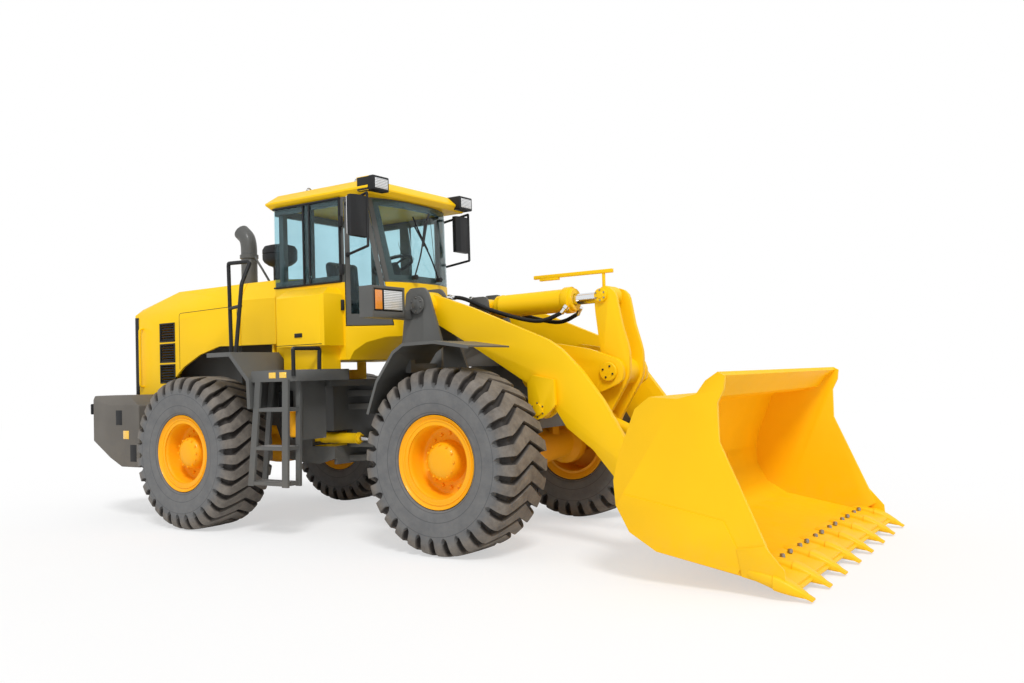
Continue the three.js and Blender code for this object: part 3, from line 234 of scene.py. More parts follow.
def bent_path(points, bend, count=6):
    """Straight runs joined by arcs: a corner is rounded by a curve that starts bend before it."""
    p = np.asarray(points, float)
    out = [p[0]]
    for a, b, c in zip(p[:-2], p[1:-1], p[2:]):
        r1 = min(bend, 0.45 * np.linalg.norm(b - a))
        r2 = min(bend, 0.45 * np.linalg.norm(c - b))
        s = b + (a - b) / np.linalg.norm(a - b) * r1
        e = b + (c - b) / np.linalg.norm(c - b) * r2
        t = np.linspace(0, 1, count)[:, None]
        out += list((1 - t) ** 2 * s + 2 * t * (1 - t) * b + t**2 * e)
    return np.array(out + [p[-1]])


def block_points(lo, hi, radius, around=24, rings=12):
    """Ball direction n of two angles; point = centre + sign(n) (half size - radius) + radius n."""
    lo, hi = np.asarray(lo, float), np.asarray(hi, float)
    radius = min(radius, 0.49 * (hi - lo).min())
    a = (np.arange(around) + 0.5) * tau / around
    b = (np.arange(rings) + 0.5) * math.pi / rings - math.pi / 2
    n = np.stack([np.cos(b) * np.cos(a)[:, None], np.cos(b) * np.sin(a)[:, None],
                  np.broadcast_to(np.sin(b), (around, rings))], -1)
    return (lo + hi) / 2 + np.sign(n) * ((hi - lo) / 2 - radius) + radius * n


def rounded_block(name, lo, hi, radius=0.006, around=16, rings=8):
    return from_grid(name, block_points(lo, hi, radius, around, rings), caps=True)


def merge(name, pieces):
    """Joins finished pieces into one object."""
    pieces = [p for p in pieces if p]
    with bpy.context.temp_override(active_object=pieces[0], selected_editable_objects=pieces):
        bpy.ops.object.join()
    pieces[0].name = name
    pieces[0].data.name = name
    return pieces[0]


print("lathe, sweep and block ready")

# %% [markdown]
# ## Finishes
# Each finish is a small node graph on Object coordinates, so a pattern has its real size everywhere
# and never slides. The colour is never quite even: a broad noise lightens and darkens it, dust
# gathers on the low parts, and a fine noise makes the surface catch the light unevenly.

# %% Node helper and paint
def wire(tree, n, **sockets):
    """Sets sockets of a node to a value, or links them when the value is another socket. A name
    has _ for each blank, and i0, i1, ... stand for a socket's number."""
    for key, value in sockets.items():
        numbered = key[0] == "i" and key[1:].isdigit()
        slot = n.inputs[int(key[1:]) if numbered else key.replace("_", " ")]
        if isinstance(value, bpy.types.NodeSocket):
            tree.links.new(value, slot)
        else:
            slot.default_value = value
    return n


def node(tree, kind, props=None, **sockets):
    """One new shader node with its properties and sockets."""
    n = tree.nodes.new("ShaderNode" + kind)
    for key, value in (props or {}).items():
        setattr(n, key, value)
    return wire(tree, n, **sockets)


def noise(tree, where, scale, **more):
    """A noise texture's value; its detail is 2 and its roughness 0.5 unless stated."""
    return node(tree, "TexNoise", Vector=where, Scale=scale, **more).outputs[0]


def bumps(tree, height, strength, distance):
    return node(tree, "Bump", Height=height, Strength=strength, Distance=distance).outputs[0]


def maths(tree, operation, a, b=None):
    """The result of one Math node on a, or on a and b."""
    second = {} if b is None else {"i1": b}
    return node(tree, "Math", {"operation": operation}, i0=a, **second).outputs[0]


def mix(tree, factor, a, b):
    n = node(tree, "Mix", {"data_type": "RGBA"}, i0=factor, i6=a, i7=b)
    return n.outputs[2]


def ramp(tree, value, low, high, a=0.0, b=1.0):
    return node(tree, "MapRange", {"clamp": True}, Value=value, From_Min=low, From_Max=high,
                To_Min=a, To_Max=b).outputs[0]


def rgba(colour):
    return (*colour, 1.0)


DUST = rgba((0.42, 0.33, 0.22))


def new_material(name):
    m = bpy.data.materials.new(name)
    m.use_nodes = True
    tree = m.node_tree
    tree.nodes.clear()
    shader = node(tree, "BsdfPrincipled")
    out = node(tree, "OutputMaterial")
    tree.links.new(shader.outputs[0], out.inputs[0])
    where = node(tree, "TexCoord").outputs["Object"]
    return m, tree, shader, where


def paint(name, colour, rough=0.35, metal=0.0, coat=0.0, fine=350, depth=0.0003, broad=0.12,
          dust=0.25, dust_top=1.1, rough_spread=0.12):
    """Painted or moulded surface. Colour = base, darkened by broad noise, then dust by height and
    noise; bump from a fine noise."""
    m, tree, shader, where = new_material(name)
    wide = noise(tree, where, 1.7, Detail=4.0)
    spots = noise(tree, where, 9.0, Detail=9.0, Roughness=0.72)
    grain = noise(tree, where, float(fine), Detail=2.0)
    base = mix(tree, ramp(tree, wide, 0.3, 0.7), rgba([c * (1 - broad) for c in colour]),
               rgba(colour))
    height = node(tree, "SeparateXYZ", Vector=where).outputs[2]
    low = ramp(tree, height, 0.1, dust_top, dust, dust * 0.08)
    amount = maths(tree, "MULTIPLY", low, ramp(tree, spots, 0.35, 0.7))
    wire(tree, shader, Base_Color=mix(tree, amount, base, DUST),
         Roughness=ramp(tree, spots, 0.3, 0.7, rough, rough + rough_spread),
         Normal=bumps(tree, grain, 0.35, depth), Metallic=metal, Coat_Weight=coat,
         Coat_Roughness=0.12, Specular_IOR_Level=0.25)
    return m


YELLOW = paint("yellow_enamel", (1.0, 0.61, 0.0), 0.42, coat=0.06, fine=260, broad=0.05, dust=0.10)
BUCKET_YELLOW = paint("bucket_yellow", (1.0, 0.57, 0.0), 0.46, coat=0.04, fine=160, broad=0.07,
                      dust=0.10, dust_top=0.5)
RIM_YELLOW = paint("rim_yellow", (1.0, 0.44, 0.0), 0.45, coat=0.1, fine=200, broad=0.08, dust=0.10)
SLATE = paint("slate_paint", (0.11, 0.112, 0.108), 0.42, coat=0.15, fine=240, broad=0.2, dust=0.22)
BLACK = paint("black_plastic", (0.016, 0.017, 0.019), 0.5, fine=500, depth=0.0005, broad=0.2,
              dust=0.08)
BALLAST = paint("cast_weight", (0.15, 0.138, 0.122), 0.6, fine=90, depth=0.0012, broad=0.25,
                dust=0.3)
CHROME = paint("hard_chrome", (0.78, 0.79, 0.8), 0.12, metal=1.0, fine=60, depth=0.00005,
               broad=0.05, dust=0.02, rough_spread=0.06)
STEEL = paint("bare_steel", (0.36, 0.35, 0.34), 0.35, metal=1.0, fine=120, broad=0.2, dust=0.1)
HOSE = paint("hose_rubber", (0.014, 0.014, 0.015), 0.55, fine=420, depth=0.0006, dust=0.1)
print(len(bpy.data.materials), "finishes")

# %% [markdown]
# Tyre rubber changes along the section: the side walls are smooth blue grey with fine rings, and
# the lugs are brown from the ground. The grooves get painted shade, darker the deeper they are. The
# tyre mesh carries two numbers on each point for this, the distance from the hub and the depth below
# the tread, and the finish reads them as attributes.
# Window glass is clear enough to see the seat behind it, with a green tint and a bright reflection.

# %% Rubber and glass
def rubber():
    m, tree, shader, where = new_material("tyre_rubber")
    radius = node(tree, "Attribute", {"attribute_name": "hub_distance"}).outputs["Fac"]
    depth = node(tree, "Attribute", {"attribute_name": "tread_depth"}).outputs["Fac"]
    spots = noise(tree, where, 9.0, Detail=9.0, Roughness=0.7)
    fine = noise(tree, where, 130.0, Detail=4.0)
    wall = mix(tree, ramp(tree, spots, 0.3, 0.7), rgba((0.105, 0.108, 0.112)),
               rgba((0.17, 0.17, 0.168)))
    lug = mix(tree, ramp(tree, spots, 0.35, 0.65), rgba((0.105, 0.092, 0.080)),
              rgba((0.215, 0.190, 0.162)))
    for ring in (0.405, 0.478, 0.590):
        off = maths(tree, "ABSOLUTE", maths(tree, "SUBTRACT", radius, ring))
        wall = mix(tree, ramp(tree, off, 0.001, 0.004, 0.6, 0), wall, rgba((0.035, 0.036, 0.04)))
    base = mix(tree, ramp(tree, radius, 0.62, 0.70), wall, lug)
    # Painted shade: the grooves darken towards near black the deeper they lie below the tread.
    base = mix(tree, ramp(tree, depth, 0.003, 0.026, 0, 0.92), base, rgba((0.022, 0.018, 0.016)))
    rings = maths(tree, "SINE", maths(tree, "MULTIPLY", radius, 900.0))
    relief = maths(tree, "ADD", maths(tree, "MULTIPLY", rings, 0.12), fine)
    wire(tree, shader, Base_Color=base, Roughness=ramp(tree, spots, 0.3, 0.7, 0.62, 0.85),
         Normal=bumps(tree, relief, 0.6, 0.0025))
    return m


def glass(name, tint):
    """Thin tinted pane: light passes straight through with the tint, and the pane's gloss grows
    at a low angle (Fresnel)."""
    m, tree, shader, where = new_material(name)
    smear = noise(tree, where, 2.2, Detail=5.0)
    tinted = mix(tree, ramp(tree, smear, 0.35, 0.65), rgba(tint), rgba([c * 0.93 for c in tint]))
    wire(tree, shader, Base_Color=tinted, Roughness=ramp(tree, smear, 0.3, 0.7, 0.02, 0.06),
         Transmission_Weight=1.0, IOR=1.08, Coat_Weight=0.35, Coat_Roughness=0.03)
    return m


RUBBER = rubber()
GLASS = glass("tinted_glass", (0.64, 0.83, 0.88))
SCREEN = glass("windscreen_glass", (0.66, 0.85, 0.88))
print("rubber and glass ready")

# %% [markdown]
# ## Floor and light
# The studio is a pale floor, an even white surrounding and one soft key lamp from the front right,
# where the machine's side and bucket face it. The surrounding is pure white where the camera, a
# mirror or a pane sees it, and a little weaker as a lamp, so that colours come out as written.

# %% Studio
def studio():
    world = bpy.data.worlds.new("studio")
    scene.world = world
    world.use_nodes = True
    tree = world.node_tree
    tree.nodes.clear()
    path = node(tree, "LightPath")
    seen = maths(tree, "MAXIMUM", path.outputs["Is Camera Ray"], path.outputs["Is Glossy Ray"])
    seen = maths(tree, "MAXIMUM", seen, path.outputs["Is Transmission Ray"])
    strength = ramp(tree, seen, 0, 1, 0.62, 1.0)
    tree.links.new(node(tree, "Background", Color=rgba((1, 1, 1)), Strength=strength).outputs[0],
                   node(tree, "OutputWorld").inputs[0])
    key = bpy.data.lights.new("key", "SUN")
    key.energy, key.angle = 1.9, math.radians(14)
    lamp = bpy.data.objects.new("key", key)
    lamp.rotation_euler = Vector((0.62, -0.62, 0.95)).to_track_quat("Z", "Y").to_euler()
    scene.collection.objects.link(lamp)
    u = np.linspace(-30, 30, 13)
    sheet = np.stack([*np.meshgrid(u, u, indexing="ij"), np.zeros((13, 13))], -1)
    floor = from_grid("floor", sheet, close_u=False)
    m, tree, shader, where = new_material("pale_floor")
    cloud = noise(tree, where, 0.4)
    pale = mix(tree, cloud, rgba((0.93, 0.93, 0.93)), rgba((0.96, 0.96, 0.96)))
    wire(tree, shader, Base_Color=pale, Roughness=0.9, Specular_IOR_Level=0.1)
    glow = node(tree, "LightPath")
    shade = node(tree, "Emission", Color=rgba((1, 1, 1)), Strength=1.0)
    share = ramp(tree, glow.outputs["Is Camera Ray"], 0, 1, 0, 0.55)
    blend = node(tree, "MixShader", i0=share, i1=shader.outputs[0], i2=shade.outputs[0])
    out = [n for n in tree.nodes if n.type == "OUTPUT_MATERIAL"][0]
    tree.links.new(blend.outputs[0], out.inputs[0])
    floor.data.materials.append(m)


studio()
scene.view_settings.view_transform = "Standard"
print("studio ready")

# %% [markdown]
# ## Soft edges on the CAD parts
# The plates and covers of the CAD model already have the right shape, but each edge is perfectly
# sharp, and a real edge always carries a thin line of light. A copy of the part is welded and gets
# a Bevel of a few millimetres on its sharp edges. The copy stands for the CAD part, which stays
# hidden in the frame.

# %% Eased copies
node_body = {n: b for b, ns in frame["record"]["behaviour"]["bodies"].items() for n in ns}


def dress(piece, body, material):
    """Gives a piece its finish and its body."""
    piece.data.materials.clear()
    piece.data.materials.append(material)
    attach(piece, body)
    return piece


def eased(cad_name, material, width=0.005, angle=38, segments=2):
    """Copy of a CAD part with its doubles merged and its sharp edges bevelled by width."""
    mesh = frame["nodes"][cad_name].data.copy()
    piece = finish_mesh(cad_name + "_eased", mesh, weld=1e-4)
    bm = bmesh.new()
    bm.from_mesh(mesh)
    bmesh.ops.dissolve_limit(bm, angle_limit=math.radians(1.5), verts=bm.verts, edges=bm.edges)
    bm.to_mesh(mesh)
    bm.free()
    bevel = piece.modifiers.new("edges", "BEVEL")
    bevel.width, bevel.segments, bevel.limit_method = width, segments, "ANGLE"
    bevel.angle_limit = math.radians(angle)
    bevel.harden_normals = True
    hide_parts(cad_name)
    return dress(piece, node_body[cad_name], material)


for name in ("boom", "bellcrank", "hood", "mid_cover", "cab_base", "cab_roof"):
    eased(name, YELLOW, 0.006)
eased("bucket", BUCKET_YELLOW, 0.006)
for name in ("front_frame", "rear_frame", "front_fender_left", "front_fender_right",
             "headlight_left", "headlight_right", "cab_frame", "door_left", "door_right",
             "access_platform_left", "access_platform_right", "engine_block"):
    eased(name, SLATE, 0.004)
eased("counterweight", BALLAST, 0.014, segments=3)
for name in ("radiator_grille", "steering_console"):
    eased(name, BLACK, 0.004)
eased("transmission", YELLOW, 0.01)
print("eased copies ready")

# %% [markdown]
# ## Wheels
# An earthmover tyre has about thirty lugs round it. Each groove starts with a round end on the side
# wall, crosses the shoulder straight, and then slants to a peak on the centre line. One grid makes
# it: columns run round the tyre, rows over its section. The columns are sheared along the groove's
# path, so that every groove wall stays crisp with only twelve columns to a lug.

# %% Tyre
HUB_Z = 0.7634
WHEELS = [(e, s, P(x, g * 1.095, HUB_Z), g) for e, x in (("front", 1.6), ("rear", -1.6))
          for s, g in SIDES]
LUGS = 30
GROOVE_DEPTH, SHOULDER = 0.052, 0.21        # metres, and half width where the tread turns down
GROOVE_MID, GROOVE_END = 0.22, 0.44         # the groove's share of one pitch
TREAD_ROWS = 26                             # rows of the section from the centre line outwards
SECTION = smooth_path([
    (0.384, 0.236), (0.388, 0.258), (0.398, 0.268), (0.44, 0.282), (0.52, 0.294), (0.59, 0.297),
    (0.655, 0.291), (0.705, 0.277), (0.738, 0.256), (0.7545, 0.226), (0.7600, 0.18), (0.7620, 0.12),
    (0.7630, 0.06), (0.7632, 0.0),
], 44)


def tyre(name, centre):
    """Section point (radius, half width) turned by the column's angle. Depth of the groove =
    0.052 m x column mask x row mask; the groove's angle moves by 0.75 pitch towards the centre."""
    section = np.vstack([SECTION, (SECTION * (1, -1))[-2::-1]])
    r, y = section.T
    tangent = np.gradient(section, axis=0)
    tangent /= np.linalg.norm(tangent, axis=1, keepdims=True)
    inward = np.stack([tangent[:, 1], -tangent[:, 0]], -1)
    off_centre = np.abs(y)
    start = np.clip((r - 0.598) / 0.05, 0, 1)
    reach = np.sqrt(1 - (1 - start) ** 2)
    centre_line = np.clip(1 - off_centre / SHOULDER, 0, 1)
    shift = 0.75 * centre_line
    width = reach * (1 - 0.45 * centre_line**0.8)
    deep = (1 - 0.35 * centre_line) * np.clip(start * 1.6, 0, 1)
    u = np.array([0.0, 0.035, 0.06, 0.14, 0.22, 0.30, 0.38, 0.405, 0.44, 0.56, 0.72, 0.88])
    mask = np.array([0.0, 0.8, 1.0, 1.0, 1.0, 1.0, 1.0, 0.8, 0.0, 0.0, 0.0, 0.0])
    column = u[:, None]
    late = (column - GROOVE_END) / 0.56
    edge = GROOVE_MID + GROOVE_MID * width
    local = np.where(column > GROOVE_END,
                     edge + late * (1 + GROOVE_MID - GROOVE_MID * width - edge),
                     GROOVE_MID + (column - GROOVE_MID) * width)
    pitch = tau / LUGS
    angle = (np.arange(LUGS)[:, None, None] + local[None] + shift[None, None]) * pitch
    depth = np.broadcast_to((mask[:, None] * deep * GROOVE_DEPTH)[None], angle.shape)
    rr = r + inward[:, 0] * depth
    yy = y + inward[:, 1] * depth
    angle, rr, yy = (k.reshape(-1, len(r)) for k in (angle, rr, yy))
    points = np.stack([np.cos(angle) * rr, yy, np.sin(angle) * rr], -1) + centre
    back = points[:, [-1, 0]]
    points = np.concatenate([points, (back[:, :1] * 0.6 + back[:, 1:] * 0.4)], 1)
    piece = from_grid(name, points, close_v=True)
    co = points_of(piece.data) - centre
    radial = np.hypot(co[:, 0], co[:, 2])
    surface = np.interp(np.abs(co[:, 1]), *SECTION[::-1][:TREAD_ROWS, ::-1].T)
    # Depth below the tread surface, which the finish turns into painted shade in the grooves.
    groove_shade_depth = np.clip(surface - radial, 0, 0.05) * (np.abs(co[:, 1]) < 0.25)
    for attribute, values in (("hub_distance", radial), ("tread_depth", groove_shade_depth)):
        layer = piece.data.attributes.new(attribute, "FLOAT", "POINT")
        layer.data.foreach_set("value", values)
    piece.data.set_sharp_from_angle(angle=math.radians(32))
    return piece


for end, side, centre, g in WHEELS:
    piece = tyre(f"{end}_tyre_{side}_tread", centre)
    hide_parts(f"{end}_tyre_{side}")
    dress(piece, f"{end}_wheel_{side}", RUBBER)
print("tyres:", len(piece.data.polygons), "faces each")

# %% [markdown]
# The rim is turned: a flange with a stepped lock ring, a deep well, the wheel disc and the domed
# planetary hub. Rings of small hexagon bolts hold the hub and the disc. All bolts of a ring are one
# array: one bolt's points are moved to each place on the circle at once.

# %% Rim and bolts
def bolt_ring(name, centre, out, radius, count, size=0.012, height=0.010, phase=0.0):
    """Hexagon heads facing out along y: a six-sided lathe, copied to count places on a circle."""
    profile = [(0, 0), (size, 0), (size, height * 0.7), (size * 0.8, height), (0, height)]
    head = lathe_points(profile, (0, 0, 0), steps=6)
    head[..., 1] *= out
    a = phase + np.arange(count) * tau / count
    move = np.stack([np.sin(a) * radius, np.zeros(count), np.cos(a) * radius], -1)
    heads = head[None] + move[:, None, None] + np.asarray(centre)
    return merge(name, [from_grid(f"{name}_{k}", h, caps=True) for k, h in enumerate(heads)])


RIM = [(0.0, 0.214), (0.06, 0.213), (0.10, 0.207), (0.132, 0.192), (0.152, 0.166), (0.158, 0.13),
       (0.162, 0.07), (0.170, 0.055), (0.185, 0.050), (0.255, 0.050), (0.272, 0.054),
       (0.282, 0.066), (0.286, 0.085), (0.288, 0.19), (0.294, 0.214), (0.304, 0.228),
       (0.318, 0.232), (0.330, 0.232), (0.333, 0.243), (0.345, 0.245), (0.349, 0.238),
       (0.360, 0.240), (0.370, 0.250), (0.378, 0.261), (0.3815, 0.258), (0.3815, 0.240),
       (0.372, 0.238), (0.300, 0.238), (0.300, -0.238), (0.372, -0.238), (0.3815, -0.242),
       (0.3815, -0.258), (0.376, -0.262), (0.350, -0.25), (0.302, -0.228), (0.286, -0.2),
       (0.286, 0.012), (0.27, 0.018), (0.0, 0.018)]
for end, side, centre, g in WHEELS:
    name = f"{end}_rim_{side}"
    rim = lathe(name + "_turned", [(r, h * g) for r, h in RIM], centre, steps=96)
    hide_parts(name)
    dress(rim, f"{end}_wheel_{side}", RIM_YELLOW)
    face = centre + (0, 0.049 * g, 0)
    nuts = bolt_ring(name + "_nuts", face, g, 0.222, 16, 0.015, 0.018)
    dress(nuts, f"{end}_wheel_{side}", RIM_YELLOW)
    studs = bolt_ring(name + "_studs", centre + (0, 0.19 * g, 0), g, 0.138, 12, 0.009, 0.012)
    dress(studs, f"{end}_wheel_{side}", RIM_YELLOW)
print("rims ready")

# %% [markdown]
# ## Hoses
# Two hoses feed the tilt cylinder. Each leaves a fitting at the foot of the arms, lies under the
# barrel and comes up into its front end. A hose is a tube swept along one soft curve.

# %% Hoses
def hose(name, body, points, radius=0.019, count=36, stands_for=None):
    """A circle of the radius carried along a soft curve through the points."""
    path = smooth_path(points, count)
    piece = sweep(name, path, radius, 16)
    dress(piece, body, HOSE)
    if stands_for:
        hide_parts(stands_for)
    return piece


HOSE_LINE = [(0.905, 0.178, 2.207), (1.083, 0.178, 2.178), (1.425, 0.185, 2.039),
             (1.859, 0.175, 1.925), (2.090, 0.150, 1.975), (2.150, 0.130, 2.030)]
FITTING = [(0.0, -0.02), (0.017, -0.02), (0.026, -0.018), (0.027, 0.012), (0.022, 0.016),
           (0.0225, 0.062), (0.0205, 0.066), (0.0, 0.066)]
for side, g in SIDES:
    hose(f"tilt_hose_{side}_swept", "tilt_barrel", across(g, HOSE_LINE),
         stands_for=f"tilt_hose_{side}")
for side, g in SIDES:
    line = smooth_path(across(g, HOSE_LINE), 36)
    ends = [along(f"fit_{k}", FITTING, a, b, 28)
            for k, (a, b) in enumerate(((line[0], line[1]), (line[-1], line[-3])))]
    dress(merge(f"hose_fittings_{side}", ends), "tilt_barrel", CHROME)
print("hoses ready")

# %% [markdown]
# ## Cylinders and pins
# A hydraulic cylinder is a painted barrel with a thicker gland at its open end and an eye for its
# pin, and inside it runs a chromed rod. Both are turned about the line between their two pins, so
# the profile is carried along that line. The rod goes on inside the barrel, ready to slide out.

# %% Cylinders
def eye(name, centre, radius, half, axis="y"):
    e = min(0.006, half / 4)
    return lathe(name, [(0, -half), (radius - e, -half), (radius, e - half), (radius, half - e),
                        (radius - e, half), (0, half)], centre, axis, 40)


def barrel_profile(radius, length, rod):
    g = radius * 1.14
    a = radius * 1.2
    return [(0, 0.02), (radius * 0.62, 0.02), (radius * 0.66, a - 0.012), (radius - 0.012, a),
            (radius, a + 0.012), (radius, a + 0.05), (radius + 0.004, a + 0.056),
            (radius + 0.004, a + 0.068), (radius, a + 0.074), (radius, length - radius - 0.012),
            (g - 0.004, length - radius), (g, length - radius + 0.006), (g, length - 0.036),
            (g - 0.004, length - 0.032), (g - 0.016, length - 0.030), (g - 0.018, length - 0.006),
            (g - 0.024, length), (rod + 0.014, length), (rod + 0.004, length - 0.004),
            (rod + 0.003, length - 0.05), (0, length - 0.05)]


def rod_profile(radius, tail, length):
    return [(0, tail), (radius - 0.004, tail), (radius, tail + 0.004), (radius, length - 0.01),
            (0, length)]


def cylinder(kind, side, base, tip, radius, rod, length, tail, eyes, axis="y", collar=1.75):
    """Barrel with gland and eye, and rod with eye, between two pin centres."""
    name = f"{kind}_cylinder{side}"
    reach = np.linalg.norm(np.subtract(tip, base))
    tube = merge(name + "_tube", [
        along(name + "_a", barrel_profile(radius, length, rod), base, tip),
        eye(name + "_b", base, eyes[0], eyes[1], axis)])
    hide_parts(f"{kind}_cylinder_barrel{side}")
    dress(tube, f"{kind}_barrel{side}", YELLOW)
    stem = along(name + "_stem", rod_profile(rod, tail, reach - eyes[2] * 0.8), base, tip)
    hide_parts(f"{kind}_cylinder_rod{side}")
    dress(stem, f"{kind}_rod{side}", CHROME)
    start = reach - eyes[2] * collar
    knuckle = merge(name + "_knuckle", [
        eye(name + "_c", tip, eyes[2], eyes[3], axis),
        along(name + "_d", [(0, start), (rod + 0.008, start),
                            (rod + 0.012, reach - eyes[2] * (collar - 0.05)),
                            (eyes[2] * 0.8, reach - eyes[2] * 0.6),
                            (0, reach - eyes[2] * 0.4)], base, tip)])
    dress(knuckle, f"{kind}_rod{side}", YELLOW)


cylinder("tilt", "", P(1.220, 0, 2.090), P(2.520, 0, 2.110), 0.105, 0.050, 0.965, 0.42,
         (0.084, 0.1, 0.088, 0.08), collar=1.02)
for side, g in SIDES:
    cylinder("lift", "_" + side, *across(g, [(0.550, 0.6, 0.860), (2.165, 0.6, 1.150)]), 0.078,
             0.045, 1.430, 0.215, (0.084, 0.085, 0.072, 0.045))
    cylinder("steering", "_" + side, *across(g, [(-0.720, 0.360, 0.860), (0.370, 0.330, 0.860)]),
             0.052, 0.026, 0.600, 0.315, (0.066, 0.035, 0.046, 0.030), "z")
bars = merge("level_gauge", [rounded_block("gauge_1", P(1.790, -0.075, 2.310),
                                           P(2.590, -0.041, 2.344), 0.004),
                             rounded_block("gauge_2", P(2.488, -0.070, 2.110),
                                           P(2.512, -0.046, 2.318), 0.004),
                             rounded_block("gauge_3", P(1.85, -0.074, 2.290),
                                           P(2.05, -0.042, 2.312), 0.004)])
dress(bars, "tilt_rod", YELLOW)
print("cylinders ready")

# %% [markdown]
# Each pin ends in a cap that is bolted to the arm, so it can't turn or walk out. A cap is a turned
# disc with a raised middle and a ring of small bolt heads.

# %% Pins and caps
def pin(name, node_name, body, centre, radius, half, head, head_half, material=STEEL):
    """A shaft with a larger head at both ends, and bolt heads on each."""
    e = 0.005
    shaft = lathe(name, [(0, -head_half), (head - e, -head_half), (head, e - head_half),
                         (head, -half), (radius, -half), (radius, half), (head, half),
                         (head, head_half - e), (head - e, head_half), (0, head_half)],
                  centre, "y", 40)
    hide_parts(node_name)
    dress(shaft, body, material)
    for side, g in SIDES:
        bolts = bolt_ring(f"{name}_bolts_{side[0]}", np.add(centre, (0, g * head_half, 0)), g,
                          head * 0.62, 4, 0.009, 0.009, 0.4)
        dress(bolts, body, BLACK)


def cap(name, body, centre, out, radius, material=YELLOW):
    """Turned cover at a joint, with its bolts."""
    h = [(0, 0.014), (radius * 0.42, 0.014), (radius * 0.5, 0.009), (radius * 0.94, 0.008),
         (radius, 0.002), (radius, -0.004), (0, -0.004)]
    disc = lathe(name, [(r, v * out) for r, v in h], centre, "y", 40)
    dress(disc, body, material)
    dress(bolt_ring(name + "_bolts", np.add(centre, (0, 0.008 * out, 0)), out, radius * 0.74, 6,
                    0.008, 0.008), body, STEEL)


CRANK_FOOT, LINK_PIVOT = P(2.453, 0, 1.038), P(3.170, 0, 0.720)
pin("crank_pin_turned", "crank_pin", "crank_pin", P(2.620, 0, 1.450), 0.055, 0.262, 0.080, 0.276,
    YELLOW)
pin("link_pin_turned", "link_pin", "link_pin", LINK_PIVOT, 0.038, 0.140, 0.052, 0.146)
for side, g in SIDES:
    pin("bucket_pin_" + side + "_turned", "bucket_pin_" + side, "bucket_pins",
        P(3.020, 0.6 * g, 0.520), 0.045, 0.118, 0.062, 0.128)
    cap("boom_pivot_cap_" + side, "front", P(0.970, 0.762 * g, 2.105), g, 0.082, SLATE)
    cap("lift_eye_cap_" + side, "boom", P(2.165, 0.672 * g, 1.150), g, 0.078, SLATE)
    cap("crank_hub_cap_" + side, "bellcrank", P(2.620, 0.187 * g, 1.450), g, 0.116)
    cap("crank_top_cap_" + side, "bellcrank", P(2.520, 0.173 * g, 2.110), g, 0.06)
link = merge("bucket_link_turned", [
    along("link_bar", [(0, 0.0), (0.046, 0.0), (0.050, 0.10), (0.050, 0.68), (0.046, 0.784),
                       (0, 0.784)],
          CRANK_FOOT, LINK_PIVOT),
    eye("link_eye_a", CRANK_FOOT, 0.066, 0.075), eye("link_eye_b", LINK_PIVOT, 0.066, 0.075)])
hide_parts("bucket_link")
dress(link, "bucket_link", YELLOW)
for name in ("front_axle", "rear_axle"):
    eased(name, RIM_YELLOW, 0.01)
print("pins ready")

# %% [markdown]
# ## Exhaust and air cleaner
# The exhaust is one bent pipe with an open, backward mouth. A pipe is a sweep out along its path
# and back again with a smaller circle, so the wall is real at the mouth. The air cleaner's bowl is
# turned.

# %% Stack and bowl
def pipe(name, path, radius, wall, around=32):
    """Outer tube and inner tube in one grid, closed at both ends by a ring."""
    out = sweep_points(path, radius, around)
    back = sweep_points(path, radius - wall, around)[:, ::-1]
    return from_grid(name, np.concatenate([out, back], 1), close_v=True)


STACK_X, STACK_Y = -1.640, -0.42
stack = merge("exhaust_pipe", [
    pipe("stack_a", bent_path([P(STACK_X, STACK_Y, 2.27), P(STACK_X, STACK_Y, 3.01),
                               P(-1.755, STACK_Y, 3.105)], 0.13, 10),
         0.086, 0.006),
    lathe("stack_b", [(0.084, 2.795), (0.099, 2.800), (0.099, 2.840), (0.084, 2.845)],
          P(STACK_X, STACK_Y, 0), "z", 40),
    lathe("stack_c", [(0.084, 2.28), (0.115, 2.282), (0.115, 2.30), (0.084, 2.305)],
          P(STACK_X, STACK_Y, 0), "z", 40),
    sweep("stack_d", [P(-1.555, -0.42, 2.820), P(-1.44, -0.42, 2.675), P(-1.330, -0.42, 2.532)],
          0.012, 12)])
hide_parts("exhaust_stack")
dress(stack, "rear", SLATE)
bowl = lathe("air_bowl", [(0, 2.440), (0.072, 2.440), (0.072, 2.66), (0.080, 2.675), (0.122, 2.690),
                          (0.165, 2.722), (0.181, 2.75), (0.183, 2.80), (0.176, 2.806),
                          (0.183, 2.812), (0.183, 2.852), (0.160, 2.89), (0.10, 2.906),
                          (0.055, 2.914), (0, 2.914)], P(-1.200, -0.380, 0), "z", 48)
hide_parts("air_precleaner")
dress(bowl, "rear", BLACK)
print("stack and bowl ready")

# %% [markdown]
# ## Lamps, mirrors and wipers
# The lamp lens shows rows of small bright cells, so its finish is a grid of round spots from two
# sine waves on Object coordinates. Amber and red lenses use the same grid, finer and duller.

# %% Lens finishes
def lens_finish(name, dark, light, scale):
    """Spots where sin(y) sin(z) is high: a bright cell, and a dark frame between the cells."""
    m, tree, shader, where = new_material(name)
    parts = node(tree, "SeparateXYZ", Vector=where)
    waves = [maths(tree, "SINE", maths(tree, "MULTIPLY", parts.outputs[k], scale)) for k in (1, 2)]
    cell = maths(tree, "ABSOLUTE", maths(tree, "MULTIPLY", *waves))
    wire(tree, shader, Base_Color=mix(tree, ramp(tree, cell, 0.12, 0.4), rgba(dark), rgba(light)),
         Normal=bumps(tree, cell, 0.4, 0.002), Roughness=0.12, Coat_Weight=1.0)
    return m


LED = lens_finish("led_lens", (0.10, 0.11, 0.12), (0.86, 0.88, 0.9), 210.0)
AMBER = lens_finish("amber_lens", (0.65, 0.16, 0.01), (0.95, 0.34, 0.03), 420.0)
RED = lens_finish("red_lens", (0.30, 0.008, 0.006), (0.62, 0.02, 0.015), 420.0)


